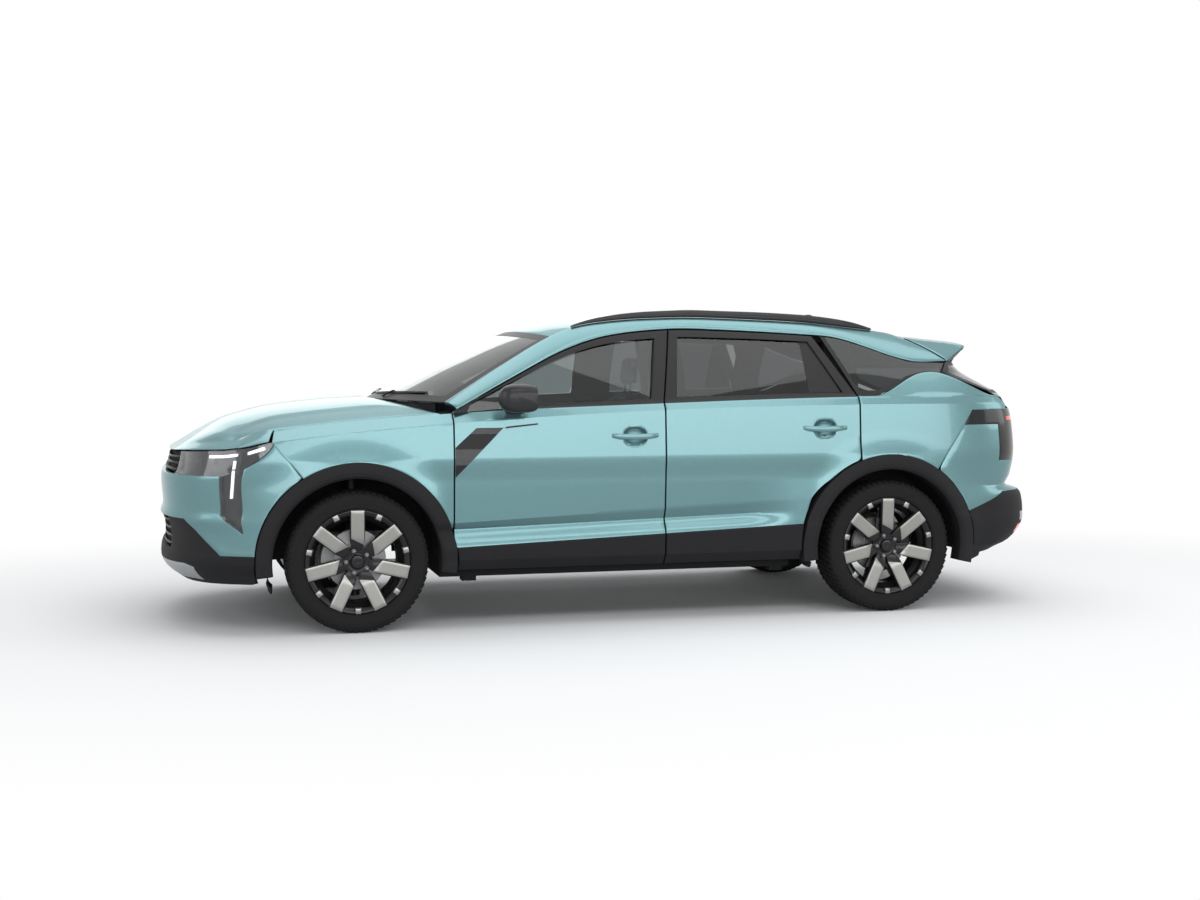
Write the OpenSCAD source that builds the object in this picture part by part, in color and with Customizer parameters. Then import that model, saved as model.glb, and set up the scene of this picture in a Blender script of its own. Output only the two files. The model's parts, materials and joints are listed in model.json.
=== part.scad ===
// Five-door crossover car. Millimetres, +X forward, +Y left, +Z up, ground at z = 0.
// Panels are closed shells laid on one set of body curves, so a change of size carries through.

/* [Body] */
// distance between the axles
wheelbase = 2700; // [2600:10:2800]
// nose ahead of the front axle
front_overhang = 905; // [870:5:960]
// tail behind the rear axle
rear_overhang = 970; // [930:5:1020]
// width over the doors
body_w = 1810; // [1740:5:1880]
// height of the roof skin at its highest
roof_h = 1537; // [1500:1:1580]
// underside of the sills
sill_z = 280; // [262:1:300]
// width of every shut line
shut_gap = 8; // [7:0.5:9]
// thickness of the outer panels
skin_t = 24; // [18:1:28]
// depth of the body frame behind the doors
frame_t = 50; // [40:1:56]

/* [Wheels] */
// distance between the tyre centres on one axle
track = 1575; // [1545:1:1600]
// tyre diameter
tyre_d = 670; // [650:1:680]
// tyre width
tyre_w = 224; // [205:1:228]
// rim diameter at the bead
rim_d = 458; // [440:1:466]
// wheel arch radius
arch_r = 395; // [388:1:402]
// width of the black arch flare
flare_w = 75; // [66:1:80]
// spokes per wheel
spokes = 7; // [5:1:9]
// inboard distance of the steering pivot from the tyre centre
pivot_in = 70; // [66:1:74]
// gap between a turning pin and its bore
pin_gap = 0.3; // [0.2:0.05:0.5]

/* [Inside] */
// height of the seat cushion
seat_z = 560; // [530:1:580]
// width of a front seat
seat_w = 500; // [460:5:520]
// diameter of the steering wheel
steer_d = 370; // [340:5:390]

/* [Hidden] */
$fn = 48;
half_w = body_w / 2;
xf = wheelbase / 2;
xr = -wheelbase / 2;
// the frame's origin sits at the middle of the overall length
mid_x = (rear_overhang - front_overhang) / 2;
wheel_z = tyre_d / 2;
wheel_y = track / 2;
flare_r = arch_r + flare_w;
seat_gap = 0.3;
// brake disc: radius, thickness, outer face from the tyre centre, clearance to the caliper
disc_r = 145;
disc_t = 22;
disc_out = -20;
disc_gap = 4;
lug_r = 54;
pipe_r = 25;
door_in = 125;
door_clear = 15;
split_x = -155;
hood_y = half_w - 105;
door_line = 452;
handle_l = 240;
liner_r = arch_r + 8;
liner_in = [wheel_y - 322, wheel_y - 190];
floor_w = half_w - door_in - door_clear - frame_t - seat_gap;
// inner faces of the rear arms, ends of the front subframe
arm_y = liner_in[1] - 97.5;
sub_y = liner_in[0] - 65.5;
// the front seats share the room between the dashboard and the bench
bench_x = xr + 400;
bench_l = 470;
seat_l = 490;
seat_lean = 190;
dash_x = xf - liner_r - 278;
seat_x = mix(bench_x + bench_l, dash_x - seat_l - seat_lean, 0.277) + seat_lean;
seat_y = max(seat_w / 2 + 60, floor_w - seat_w / 2 - 94.7);
console_gap = 30;
console_y = seat_y - seat_w / 2 - console_gap;
paint = [0.44, 0.66, 0.69];
trim_black = [0.09, 0.09, 0.1];
glass_tint = [0.16, 0.19, 0.2];
steel_grey = [0.42, 0.43, 0.45];
cloth_grey = [0.55, 0.6, 0.64];

// curve helpers
function mix(a, b, t) = a + (b - a) * t;
function unit(t) = max(0, min(1, t));
function ease(t) = let (c = unit(t)) c * c * (3 - 2 * c);
function seg(x, p) = max(0, min(len(p) - 2, len([for (q = p) if (q[0] <= x) 1]) - 1));
function slope(p, i) = let (a = max(0, i - 1), b = min(len(p) - 1, i + 1))
    (p[b][1] - p[a][1]) / (p[b][0] - p[a][0]);
// smooth curve through points given in rising order of x
function curve(x, p) =
    x <= p[0][0] ? p[0][1] :
    x >= p[len(p) - 1][0] ? p[len(p) - 1][1] :
    let (i = seg(x, p), d = p[i + 1][0] - p[i][0], t = (x - p[i][0]) / d, a = slope(p, i) * d,
        b = slope(p, i + 1) * d)
    p[i][1] * (2 * t * t * t - 3 * t * t + 1) + a * (t * t * t - 2 * t * t + t)
    + p[i + 1][1] * (3 * t * t - 2 * t * t * t) + b * (t * t * t - t * t);
function flat(g) = [for (r = g) for (p = r) p];
// body heights above the waist keep their share of the height up to the roof
waist_z = 640;
design_h = 897;
function lift(z) = z < waist_z ? z : waist_z + (z - waist_z) * (roof_h - waist_z) / design_h;
function lifted(p) = [for (q = p) [q[0], lift(q[1])]];
function raised(p) = [for (q = p) [lift(q[0]), q[1]]];
// stations along the middle of the cabin: 0 over the front doors to 1 over the rear doors
function cabin_x(t) = mix(xf - 1270, xr + 409, t);

// body lines
belt_pts = lifted([[xr - 850, 1100], [xr + 183, 1099], [split_x, 1072], [xf - 460, 1029], [xf + 358, 953],
    [xf + 545, 876]]);
shoulder_pts = lifted([[xr - 850, 1060], [xr + 163, 1061], [split_x - 7, 1040], [xf - 449, 983],
    [xf + 358, 905],
    [xf + 545, 850]]);
function belt_z(x) = curve(x, belt_pts);
function shoulder_z(x) = curve(x, shoulder_pts);
function clad_z(x) = sill_z + 140 - 0.04 * x;
function groove_z(x) = sill_z + 222 - 0.03 * x;
function face_z(x) = sill_z + 268 - 0.045 * x;
function belt_in(x) = 36 + 69 * ease((x - xf + 650) / 400);
function groove_fade(x) = ease((x - xr - 480) / 320) * ease((xf - 250 - x) / 200);

// nose and tail seen from the side, at the middle of the car
nose_pts = raised([[220, 105], [265, 39], [306, 7], [354, 3], [395, 14], [485, 15], [533, 2], [570, 14],
    [722, 8],
    [784, 32], [850, 45]]);
tail_pts = raised([[290, 190], [327, 100], [400, 20], [458, 2], [554, 10], [600, 38], [625, 118], [671, 92],
    [788, 68], [936, 76], [1028, 97], [1100, 130]]);
function nose_x(z) = xf + front_overhang - curve(z, nose_pts);
function tail_x(z) = xr - rear_overhang + curve(z, tail_pts);
function round_off(t, p) = pow(max(0, 1 - pow(unit(t), p)), 1 / p);

// side of the body below the glass: inset from the full half width
function side_in(x, z) = lookup(z, [[sill_z, 45], [sill_z + 50, 8], [clad_z(x), 0], [clad_z(x) + 8, 6],
    [groove_z(x), mix(6, 34, groove_fade(x))], [face_z(x), mix(6, 20, groove_fade(x))], [lift(690), 8],
        [lift(815), 0],
    [shoulder_z(x), 14], [belt_z(x), belt_in(x)]]);
function bulge(x, z, ax, side) = let (r = norm([x - ax, z - wheel_z]))
    16 * pow(unit(1 - (r - flare_r) / 130), 2) * ease(side * (x - ax + side * 450) / 130);
// cant rail: lower edge over the windows and upper edge at the roof
cant_low = lifted([[xr - 393, 1282], [xr - 173, 1285], [xr + 197, 1399], [xr + 409, 1420],
    [cabin_x(0.578), 1440],
    [cabin_x(0.314), 1443], [xf - 1270, 1409], [xf - 1040, 1339], [xf - 770, 1207], [xf - 477, 1051]]);
cant_top = lifted([[xr - 210, 1402], [xr - 109, 1431], [xr + 150, 1460], [xr + 385, 1482],
    [cabin_x(0.578), 1500],
    [cabin_x(0.377), 1502], [xf - 1287, 1481], [xf - 1040, 1430], [xf - 712, 1255], [xf - 433, 1084]]);
cant_top_in = [[xr - 210, 320], [xr - 109, 315], [xr + 150, 308], [xr + 385, 305], [cabin_x(0.578), 302],
    [cabin_x(0.377), 302], [xf - 1287, 296], [xf - 1040, 268], [xf - 712, 205], [xf - 433, 140]];
// stations along the rail, front to rear: [x of the lower edge, x of the upper edge]
cant_x = [[xf - 477, xf - 433], [xf - 570, xf - 520], [xf - 670, xf - 612], [xf - 770, xf - 712],
    [xf - 860, xf - 800],
    [xf - 950, xf - 890], [xf - 1040, xf - 980], [xf - 1150, xf - 1090], [xf - 1270, xf - 1230],
    for (t = [0.176, 0.314, 0.4505, 0.578, 0.793]) [cabin_x(t), cabin_x(t) + 20 * max(0, 1 - 2.4 * t)],
    [xr + 409, xr + 409], [xr + 300, xr + 300], [xr + 197, xr + 170], [xr + 80, xr + 80],
    [xr - 40, xr - 20], [xr - 173, xr - 100], [xr - 290, xr - 160], [xr - 393, xr - 205]];
header_i = 6;
function cant_z(x) = curve(x, cant_low);
function roof_edge_z(x) = curve(x, cant_top);
// half width of the body side anywhere
function glass_in(x, z) = let (h = unit((z - belt_z(x)) / (lift(1443) - belt_z(x))))
    mix(belt_in(min(x, xf - 700)) + 8, 248, 0.86 * h + 0.14 * h * h) + 55 * ease((xr + 330 - x) / 900) * h;
function side_y(x, z) = z > belt_z(x) ? (half_w - glass_in(x,
    z)) * round_off((xr - x) / (xr - tail_x(lift(1100))), 4) :
    (half_w - side_in(x, z)) * round_off((x - xf) / (nose_x(z) - xf),
        3) * round_off((xr - x) / (xr - tail_x(z)), 4)
    + bulge(x, z, xf, 1) + bulge(x, z, xr, -1);

function cant_low_pt(i) = let (x = cant_x[i][0], z = cant_z(x)) [x, side_y(x, z), z];
function cant_top_pt(i) = let (x = cant_x[i][1]) [x, half_w - curve(x, cant_top_in), roof_edge_z(x)];

// closed shell between two grids of points, cells inside a hole left open
function in_hole(i, j, holes) = len([for (h = holes) if (i >= h[0] && i < h[1] && j >= h[2] && j < h[3])
    1]) > 0;
function live(i, j, r, c, holes) = i >= 0 && j >= 0 && i < r - 1 && j < c - 1 && !in_hole(i, j, holes);
function quad(a, b, c, d) = [[a, b, c], [a, c, d]];
module shell(outer, inner, holes = []) {
    r = len(outer);
    c = len(outer[0]);
    n = r * c;
    faces = [for (i = [0:r - 2]) for (j = [0:c - 2]) if (live(i, j, r, c, holes))
        let (a = i * c + j, b = a + 1, d = a + c, e = d + 1)
        each concat(
            quad(a, d, e, b),
            quad(n + a, n + b, n + e, n + d),
            live(i - 1, j, r, c, holes) ? [] : quad(a, b, n + b, n + a),
            live(i + 1, j, r, c, holes) ? [] : quad(d, n + d, n + e, e),
            live(i, j - 1, r, c, holes) ? [] : quad(d, a, n + a, n + d),
            live(i, j + 1, r, c, holes) ? [] : quad(e, n + e, n + b, b))];
    polyhedron(points = concat(flat(outer), flat(inner)), faces = faces, convexity = 10);
}
// closed solid through rings of equal length, ends filled flat
module loft(rings) {
    k = len(rings[0]);
    m = len(rings);
    faces = concat(
        [for (i = [0:m - 2]) for (j = [0:k - 1]) let (a = i * k + j, b = i * k + (j + 1) % k)
            each quad(a, a + k, b + k, b)],
        [[for (j = [0:k - 1]) j], [for (j = [k - 1:-1:0]) (m - 1) * k + j]]);
    polyhedron(points = flat(rings), faces = faces, convexity = 6);
}
module pair() {
    children();
    mirror([0, 1, 0]) children();
}
module car() {
    translate([mid_x, 0, 0]) children();
}

// doors
function door_front_x(z) = let (d = flare_r + shut_gap, h = z - wheel_z)
    min(xf - door_line - shut_gap, abs(h) < d ? xf - sqrt(d * d - h * h) : xf);
function door_rear_x(z) = let (d = flare_r + shut_gap, h = z - wheel_z)
    max(xr + 168, abs(h) < d ? xr + sqrt(d * d - h * h) : xr);
door_cols = [0, 0.06, 0.2, 0.35, 0.5, 0.65, 0.8, 0.94, 1];
low_rows = 10;
function row_z(x, k) = [sill_z, sill_z + 50, clad_z(x), clad_z(x) + 8, groove_z(x), face_z(x),
    lift(690), lift(815), shoulder_z(x), belt_z(x)][k];
// side edges of a door at a height: [front, rear]
function front_edges(z) = [door_front_x(z), split_x + shut_gap / 2];
function rear_edges(z) = [split_x - shut_gap / 2, door_rear_x(z)];
// top corners of the door frames: [front x, rear x]
front_top = [xf - 482, split_x - 80 + shut_gap / 2];
rear_top = [split_x - 80 - shut_gap / 2, xr + 346];
function door_low(u, k, rear) = let (g = row_z(0, k), e = rear ? rear_edges(g) : front_edges(g),
    x = mix(e[0], e[1], u), z = row_z(x, k)) [x, z];
function door_up(u, v, rear) = let (e = rear ? rear_edges(lift(1050)) : front_edges(lift(1050)),
    t = rear ? rear_top : front_top,
    xb = mix(e[0], e[1], u), xt = mix(t[0], t[1], u), zt = max(cant_z(xt) - shut_gap, belt_z(xb) + 9))
    [mix(xb, xt, v), mix(belt_z(xb), zt, v)];
frame_v = [0.07, 0.3, 0.6, 0.9, 1];
function door_xz(rear) = concat([for (k = [0:low_rows - 1]) [for (u = door_cols) door_low(u, k, rear)]],
    [for (v = frame_v) [for (u = door_cols) door_up(u, v, rear)]]);
function door_inner_y(x, z) = z <= belt_z(x) + 4 ? half_w - door_in :
    min(half_w - door_in, side_y(x, z) - 40);
// the inner face stops short at the closing edge so the door swings clear
function closing(u) = 30 * pow(unit((u - 0.8) / 0.2), 2);
function door_outer(rear) = [for (r = door_xz(rear)) [for (p = r) [p[0], side_y(p[0], p[1]), p[1]]]];
function door_inner(rear) = [for (r = door_xz(rear)) [for (j = [0:len(r) - 1]) let (p = r[j])
    [p[0] + closing(door_cols[j]), door_inner_y(p[0], p[1]), p[1]]]];
module door(rear) {
    color(paint) shell(door_outer(rear), door_inner(rear),
        [[low_rows, low_rows + 3, 1, len(door_cols) - 2]]);
}
// glass lies in the window opening a seating gap from the frame
glass_u = [0.062, 0.2, 0.35, 0.5, 0.65, 0.8, 0.932];
glass_v = [0.075, 0.3, 0.6, 0.895];
function glass_xz(rear) = [for (v = glass_v) [for (u = glass_u) door_up(u, v, rear)]];
module door_glass(rear) {
    g = glass_xz(rear);
    color(glass_tint) shell([for (r = g) [for (p = r) [p[0], side_y(p[0], p[1]) - 10, p[1]]]],
        [for (r = g) [for (p = r) [p[0], side_y(p[0], p[1]) - 15, p[1]]]]);
}
// pull handle standing on the skin, its ends sunk to the door
module handle(x, z) {
    ring = [[1, 0], [0.7, 0.8], [0, 1], [-0.7, 0.8], [-1, 0]];
    st = [[0, 9, 3], [0.06, 12, 14], [0.2, 14, 21], [0.5, 15, 23], [0.8, 14, 21], [0.94, 12, 14],
        [1, 9, 3]];
    color(paint) loft([for (t = st) let (px = x - handle_l * t[0])
        concat([for (p = ring) [px, side_y(px, z) + t[2] * p[1], z + t[1] * p[0]]],
            [[px, side_y(px, z) - 3, z - 6], [px, side_y(px, z) - 3, z + 6]])]);
}
module door_front_left() {
    union() {
        door(false);
        handle(split_x + 277, lift(915));
    }
}
module door_rear_left() {
    union() {
        door(true);
        handle(xr + 480, lift(943));
    }
}
module glass_front_left() { door_glass(false); }
module glass_rear_left() { door_glass(true); }

module mirror_left() {
    o = door_outer(false);
    // the foot stands on the skin between shoulder and belt
    foot = [[0.3, 0.25], [0.3, 0.8], [0.75, 0.8], [0.75, 0.25]];
    function skin(s, t) = mix(mix(o[8][2], o[8][3], s), mix(o[9][2], o[9][3], s), t);
    ring = [for (a = [135, 225, 315, 405]) for (d = [0, 22.5, 45, 67.5]) let (b = a - d + 45)
        [-sign(sin(b)) * pow(abs(sin(b)), 0.7), sign(cos(b)) * pow(abs(cos(b)), 0.7)]];
    c = skin(0.5, 0.5);
    base = [for (p = ring) skin(0.5 - 0.22 * p[0], 0.52 + 0.28 * p[1]) + [0, 0.6, 0]];
    secs = [[26, 42, 12, 0, 10], [44, 56, 22, -2, 26], [58, 84, 46, -6, 62], [84, 98, 66, -10, 76],
        [120, 100, 70, -14, 80], [150, 90, 62, -26, 80], [166, 62, 42, -40, 80]];
    color(paint) loft(concat([base],
        [for (s = secs) [for (p = ring) c + [s[3] + s[1] * p[0], s[0], s[4] + s[2] * p[1]]]]));
}

// fixed body
ring_r = arch_r + 45;
function ring_x(u) = mix(xf - liner_r - 9, xr + 120, u);
ring_bz = sill_z + 30;
function ring_low(x) = max(ring_bz, abs(x - xr) < ring_r ? wheel_z + sqrt(pow(ring_r, 2) - pow(x - xr, 2)) :
    0);
function ring_top(x) = max(cant_z(min(max(x, xr - 300), xf - 500)) - 30, belt_z(x) + 30);
function ring_rows(x) = let (b = ring_low(x), s = max(b + 20, ring_bz + 90), w = belt_z(x), t = ring_top(x))
    [b, s, mix(s, w, 0.35), mix(s, w, 0.7), w + 8, mix(w, t, 0.35) + 6, mix(w, t, 0.7) + 3, t - 4, t + 48];
ring_u = [0, 0.05, 0.09, 0.16, 0.24, 0.32, 0.4, 0.47, 0.52, 0.57, 0.64, 0.71, 0.78, 0.85, 0.875, 0.9, 0.93,
    1];
ring_grid = [for (k = [0:8]) [for (u = ring_u) let (x = ring_x(u)) [x, ring_rows(x)[k]]]];
function ring_y(x, z) = door_inner_y(min(x, xf - 480), z) - door_clear;
hinge_x = [xf - 490, split_x - 34];
hinge_zs = [480, lift(880)];
rail_pads = [8, 11, 14];
module side_ring() {
    door_y = half_w - door_in;
    union() {
        shell([for (r = ring_grid) [for (p = r) [p[0], ring_y(p[0], p[1]), p[1]]]],
            [for (r = ring_grid) [for (p = r) [p[0], ring_y(p[0], p[1]) - frame_t, p[1]]]],
            [[1, 7, 2, 7], [1, 7, 9, 16], [4, 9, 0, 2]]);
        // hinge blocks behind each pivot, a seating gap from the closed door
        for (x = hinge_x) for (z = hinge_zs) translate([x - 72, door_y - door_clear - 20, z - 30])
            cube([36, door_clear + 20 - seat_gap, 60]);
        // block that carries the quarter panel
        let (x = xr + 124, z = lift(980)) translate([x, ring_y(x, z) - 5, z])
            cube([24, side_y(x, z + 30) - skin_t - 0.6 - ring_y(x, z) + 5, 30]);
        // blocks that carry the painted rail over the doors
        for (i = rail_pads) let (p = mix(cant_low_pt(i), cant_top_pt(i), 0.5) - [0, 14.6, 7.5])
            translate([p[0] - 5, p[1] - 30, p[2] - 14])
            cube([10, 30, 14]);
    }
}
module body_sides() {
    color(trim_black) pair() side_ring();
}
module cant_rails() {
    n = len(cant_x) - 1;
    low = [for (i = [0:n]) cant_low_pt(i)];
    top = [for (i = [0:n]) cant_top_pt(i)];
    mid = [for (i = [0:n]) mix(low[i], top[i], 0.5) + [0, 14, 5]];
    color(paint) pair() shell([low, mid, top],
        [[for (p = low) p - [0, 30, 4]], [for (p = mid) p - [0, 28, 12]], [for (p = top) p - [0, 3, 16]]]);
}
roof_v = [1, 0.94, 0.8, 0.5, 0, -0.5, -0.8, -0.94, -1];
function roof_grid() = [for (v = roof_v) [for (i = [header_i:len(cant_x) - 1]) let (p = cant_top_pt(i))
    [p[0] + (i == header_i ? 83 : i == header_i + 1 ? 40 : 0) * (1 - v * v), v * (p[1] - 3.6),
        p[2] - 3 + 38 * (1 - v * v)]]];
module roof() {
    g = roof_grid();
    n = len(g[0]) - 1;
    union() {
        color(paint) shell(g, [for (r = g) [for (p = r) p - [0, 0, skin_t]]]);
        roof_fin();
    }
    // rear header that the tailgate hangs from
    t = tailgate_inner();
    m = len(t) - 1;
    h = [for (j = [0:len(roof_v) - 1])
        [mix(g[j][n], g[j][n - 1], 0.6) - [0, 0, skin_t + seat_gap], g[j][n] - [0, 0, skin_t + 8],
        mix(t[m][j], t[m - 1][j], 0.15) - [0, 0, 1], mix(t[m][j], t[m - 1][j], 0.4) - [0, 0, 1]]];
    color(trim_black) shell([for (j = [1:len(roof_v) - 2]) h[j]],
        [for (j = [1:len(roof_v) - 2]) [for (p = h[j]) p - [0, 0, 30]]]);
}
module roof_fin() {
    // aerial fin: sections from its long foot to its tip, swept to the rear
    ring = [[1, 0], [0.3, 0.8], [-0.6, 1], [-1, 0.6], [-1, -0.6], [-0.6, -1], [0.3, -0.8]];
    secs = [[0, 85, 30, -6], [-14, 66, 22, 12], [-30, 44, 13, 26], [-42, 24, 6, 37]];
    p = [xr + 130, 0, curve(xr + 130, cant_top) + 35];
    color(trim_black) loft([for (t = secs) [for (q = ring) p + [t[0] + t[1] * q[0], t[2] * q[1], t[3]]]]);
}
rail_up = [10, 24, 33, 36, 38, 38, 40, 40, 40, 38, 30, 12];
module roof_rails() {
    // stations shared with the roof edge
    first = header_i + 1;
    color(trim_black) pair() loft([for (i = [0:len(rail_up) - 1])
        let (p = cant_top_pt(first + i), h = rail_up[i])
        [p + [0, 12, 0.6], p + [0, 12, h - 7], p + [0, 4, h], p + [0, -8, h], p + [0, -16, h - 7],
            p + [0, -16, 0.6]]]);
}
// fender: from the arch out to the door, bonnet and bumper lines
split_top = [xf + 390, lift(905)];
split_low = [xf + 250, wheel_z + sqrt(pow(flare_r, 2) - 250 * 250)];
function fender_grid() =
    let (xd = xf - door_line, tip = sqrt(pow(flare_r, 2) - pow(door_line, 2)) + 14, n = 14,
        a0 = 180 - asin(tip / flare_r), a1 = atan2(split_low[1] - wheel_z, 250),
            r = flare_r / cos((a0 - a1) / n / 2),
        inner = [for (i = [0:n]) let (a = mix(a1, a0, i / n)) [xf + r * cos(a), wheel_z + r * sin(a)]],
        path = concat([mix(split_low, split_top, 0.985)],
            [for (t = [0:6]) let (x = mix(xf + 368, xd, t / 6)) [x, belt_z(x)]],
            [for (t = [0:0.2:1]) [xd, mix(lift(960), wheel_z + tip, t)]]),
        outer = [for (i = [0:n]) let (s = i / n * (len(path) - 1), k = min(len(path) - 2, floor(s)))
            mix(path[k], path[k + 1], s - k)])
    [for (v = [0, 0.25, 0.6, 0.86, 1]) [for (i = [0:n]) mix(inner[i], outer[i], v)]];
module front_fenders() {
    g = fender_grid();
    // the top edge turns down beside the bonnet
    color(paint) pair() shell([for (r = g) [for (p = r) [p[0], side_y(p[0], p[1]), p[1]]]],
        [for (k = [0:4]) [for (i = [0:14]) let (p = g[k][i], e = k == 4 && i > 0 && i < 9)
            [p[0], side_y(p[0], p[1]) - (e ? 2 : skin_t), p[1] - (e ? skin_t : 0)]]]);
}
// quarter panel: arch, lamp and bumper edge, corner over the lamp, corner of the rear pillar
pillar_pts = lifted([[xr - 740, 1101], [xr - 617, 1104], [xr - 345, 1216], [xr - 200, 1214],
    [xr + 35, 1108],
    [xr + 190, 1104]]);
lamp_z = [lift(725), lift(1029), lift(1030)];
function lamp_edge(z) = lookup(z, raised([[725, xr - 262], [958, xr - 425], [1029, xr - 470]]));
quarter_x0 = xr + 160;
function quarter_x1(z) = lookup(z,
    [for (r = gate_rows) if (r[0] > lift(900)) [r[0], r[1] + r[3]]]) + shut_gap + 8;
quarter_cols = concat([for (u = [0:6]) [u / 6, 0]], [for (w = [1:5]) [1, w / 5]]);
function quarter_grid() = concat(
    [for (v = [0, 0.3, 0.6, 1]) [for (c = quarter_cols) let (x1 = lamp_edge(mix(lamp_z[0], lamp_z[2], v)),
        xa = mix(quarter_x0, lamp_edge(lamp_z[0]), c[0]),
            x = mix(mix(quarter_x0, x1, c[0]), quarter_x1(lift(1050)), c[1]),
            za = wheel_z + sqrt(pow(flare_r + 2, 2) - pow(xa - xr, 2)))
        [x, mix(za, lamp_z[2], v)]]],
    [for (k = [0:2]) [for (c = quarter_cols) let (x = mix(mix(quarter_x0, lamp_edge(lamp_z[1]), c[0]),
        quarter_x1(lift([1060, 1100, 1104][k])), c[1]))
        [x, [shoulder_z(x), belt_z(x), pillar_top(x)][k]]]]);
function pillar_top(x) = max(belt_z(x) + 3, curve(x, pillar_pts));
module quarter_panels() {
    g = quarter_grid();
    color(paint) pair() shell([for (r = g) [for (p = r) [p[0], side_y(p[0], p[1]), p[1]]]],
        [for (r = g) [for (p = r) [p[0], side_y(p[0], p[1]) - skin_t, p[1]]]], [[0, 3, 6, 11]]);
}
module flare(ax, a0, a1) {
    rows = [arch_r, arch_r + 14, arch_r + flare_w * 0.6, flare_r - seat_gap];
    proud = [-2, 12, 11, 5];
    n = 28;
    g = [for (k = [0:3]) [for (i = [0:n])
        let (a = mix(a0, a1, i / n), x = ax + rows[k] * cos(a), z = wheel_z + rows[k] * sin(a))
        [x, max(side_y(x, max(z, sill_z + 60)), half_w - 60) + proud[k], z]]];
    color(trim_black) shell(g, [for (r = g) [for (p = r) [p[0], half_w - 96, p[2]]]]);
}
module arch_flares() {
    pair() {
        flare(xf, -8, 188);
        flare(xr, -8, 192);
    }
}
// points round the nose at a height: a = 0 on the side to 90 at the middle
function nose_pt(a, z, t) = let (x = xf + (nose_x(z) - xf - t) * pow(sin(a), 2 / 3))
    [x, (half_w - side_in(xf, z) - t) * pow(max(0, cos(a)), 2 / 3) + bulge(x, z, xf, 1), z];
function tail_pt(a, z, t) = let (x = xr - (xr - tail_x(z) - t) * pow(sin(a), 1 / 2))
    [x, (half_w - side_in(xr, z) - t) * pow(max(0, cos(a)), 1 / 2) + bulge(x, z, xr, -1), z];
// columns up to 1 run from the arch or fender edge to the lamp, larger ones are angles round the corner
lamp_a = 27;
arch_gap = 7;
cell_wall = 5;
function front_edge_x(z) = z < split_low[1] ? xf + sqrt(pow(flare_r, 2) - pow(z - wheel_z, 2)) + arch_gap :
    mix(split_low[0], split_top[0], unit((z - split_low[1]) / (split_top[1] - split_low[1])))
    + mix(arch_gap, seat_gap, unit((z - split_low[1]) / 80));
function nose_q(q, z) = q > 1 ? q :
    mix(asin(pow((front_edge_x(z) - xf) / (nose_x(z) - xf), 1.5)), lamp_a, q);
tail_lamp_a = 31.6;
function rear_edge_x(z) = z < lamp_z[0] ? xr - sqrt(pow(flare_r, 2) - pow(z - wheel_z, 2)) - arch_gap :
    lamp_edge(z) - mix(arch_gap, seat_gap, unit((z - lamp_z[0]) / 80));
function tail_q(q, z) = q > 1 ? q :
    mix(asin(pow((xr - rear_edge_x(z)) / (xr - tail_x(z)), 2)), tail_lamp_a, q);
nose_cols = [0, 0.35, 0.7, 1, 31.5, 36, 42, 48, 55, 62, 69, 76, 83, 90];
tail_cols = [0, 0.5, 1, 38, 45, 52, 59, 66, 74, 82, 90];
function both(a) = concat([for (i = [0:len(a) - 1]) [a[i], -1]], [for (i = [len(a) - 2:-1:0]) [a[i], 1]]);
function flip(a) = [for (c = a) [c[0], -c[1]]];
function side_of(p, s) = [p[0], s * p[1], p[2]];
// at the free edge the inner face lies straight behind the outer one
function nose_at(c, z, t) = side_of(c[0] == 0 ? nose_pt(nose_q(0, z), z, 0) - [0, t, 0] :
    nose_pt(nose_q(c[0], z), z, t), c[1]);
function tail_at(c, z, t) = side_of(c[0] == 0 ? tail_pt(tail_q(0, z), z, 0) - [0, t, 0] :
    tail_pt(tail_q(c[0], z), z, t), c[1]);
// grid of heights: one list of z per column
module nose_shell(cols, zs, out, t, holes = []) {
    n = len(zs(1)) - 1;
    shell([for (k = [0:n]) [for (c = cols) nose_at(c, zs(c[0])[k], out)]],
        [for (k = [0:n]) [for (c = cols) nose_at(c, zs(c[0])[k], t)]], holes);
}
module tail_shell(cols, zs, out, t, holes = []) {
    n = len(zs(1)) - 1;
    shell([for (k = [0:n]) [for (c = cols) tail_at(c, zs(c[0])[k], out)]],
        [for (k = [0:n]) [for (c = cols) tail_at(c, zs(c[0])[k], t)]], holes);
}
function cover_low(q) = lookup(q, [[0, 372], [36, 372], [55, 536], [90, 536]]);
function cover_high(q) = lookup(q,
    lifted([[0, 892], [1, 777], [lamp_a, 777], [31.5, 760], [36, 742], [90, 742]]));
cover_v = [0, 0.14, 0.3, 0.5, 0.7, 0.86, 1];
function cover_zs(q) = [for (v = cover_v) mix(cover_low(q), cover_high(q), v)];
module front_bumper() {
    // the lamp's upright stands in the openings at the corners
    color(paint) nose_shell(both(nose_cols), function(q) cover_zs(q), 0, skin_t,
        [[2, 6, 3, 5], [2, 6, 21, 23]]);
}
function valance_zs(q) = [for (v = [0, 0.25, 0.5, 0.75, 1])
    mix(lookup(q, [[0, 240], [90, 222]]), cover_low(q) - seat_gap, v)];
module front_valance() {
    color(trim_black) nose_shell(both(nose_cols), function(q) valance_zs(q), 0, skin_t, [[2, 4, 10, 16]]);
}
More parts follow.
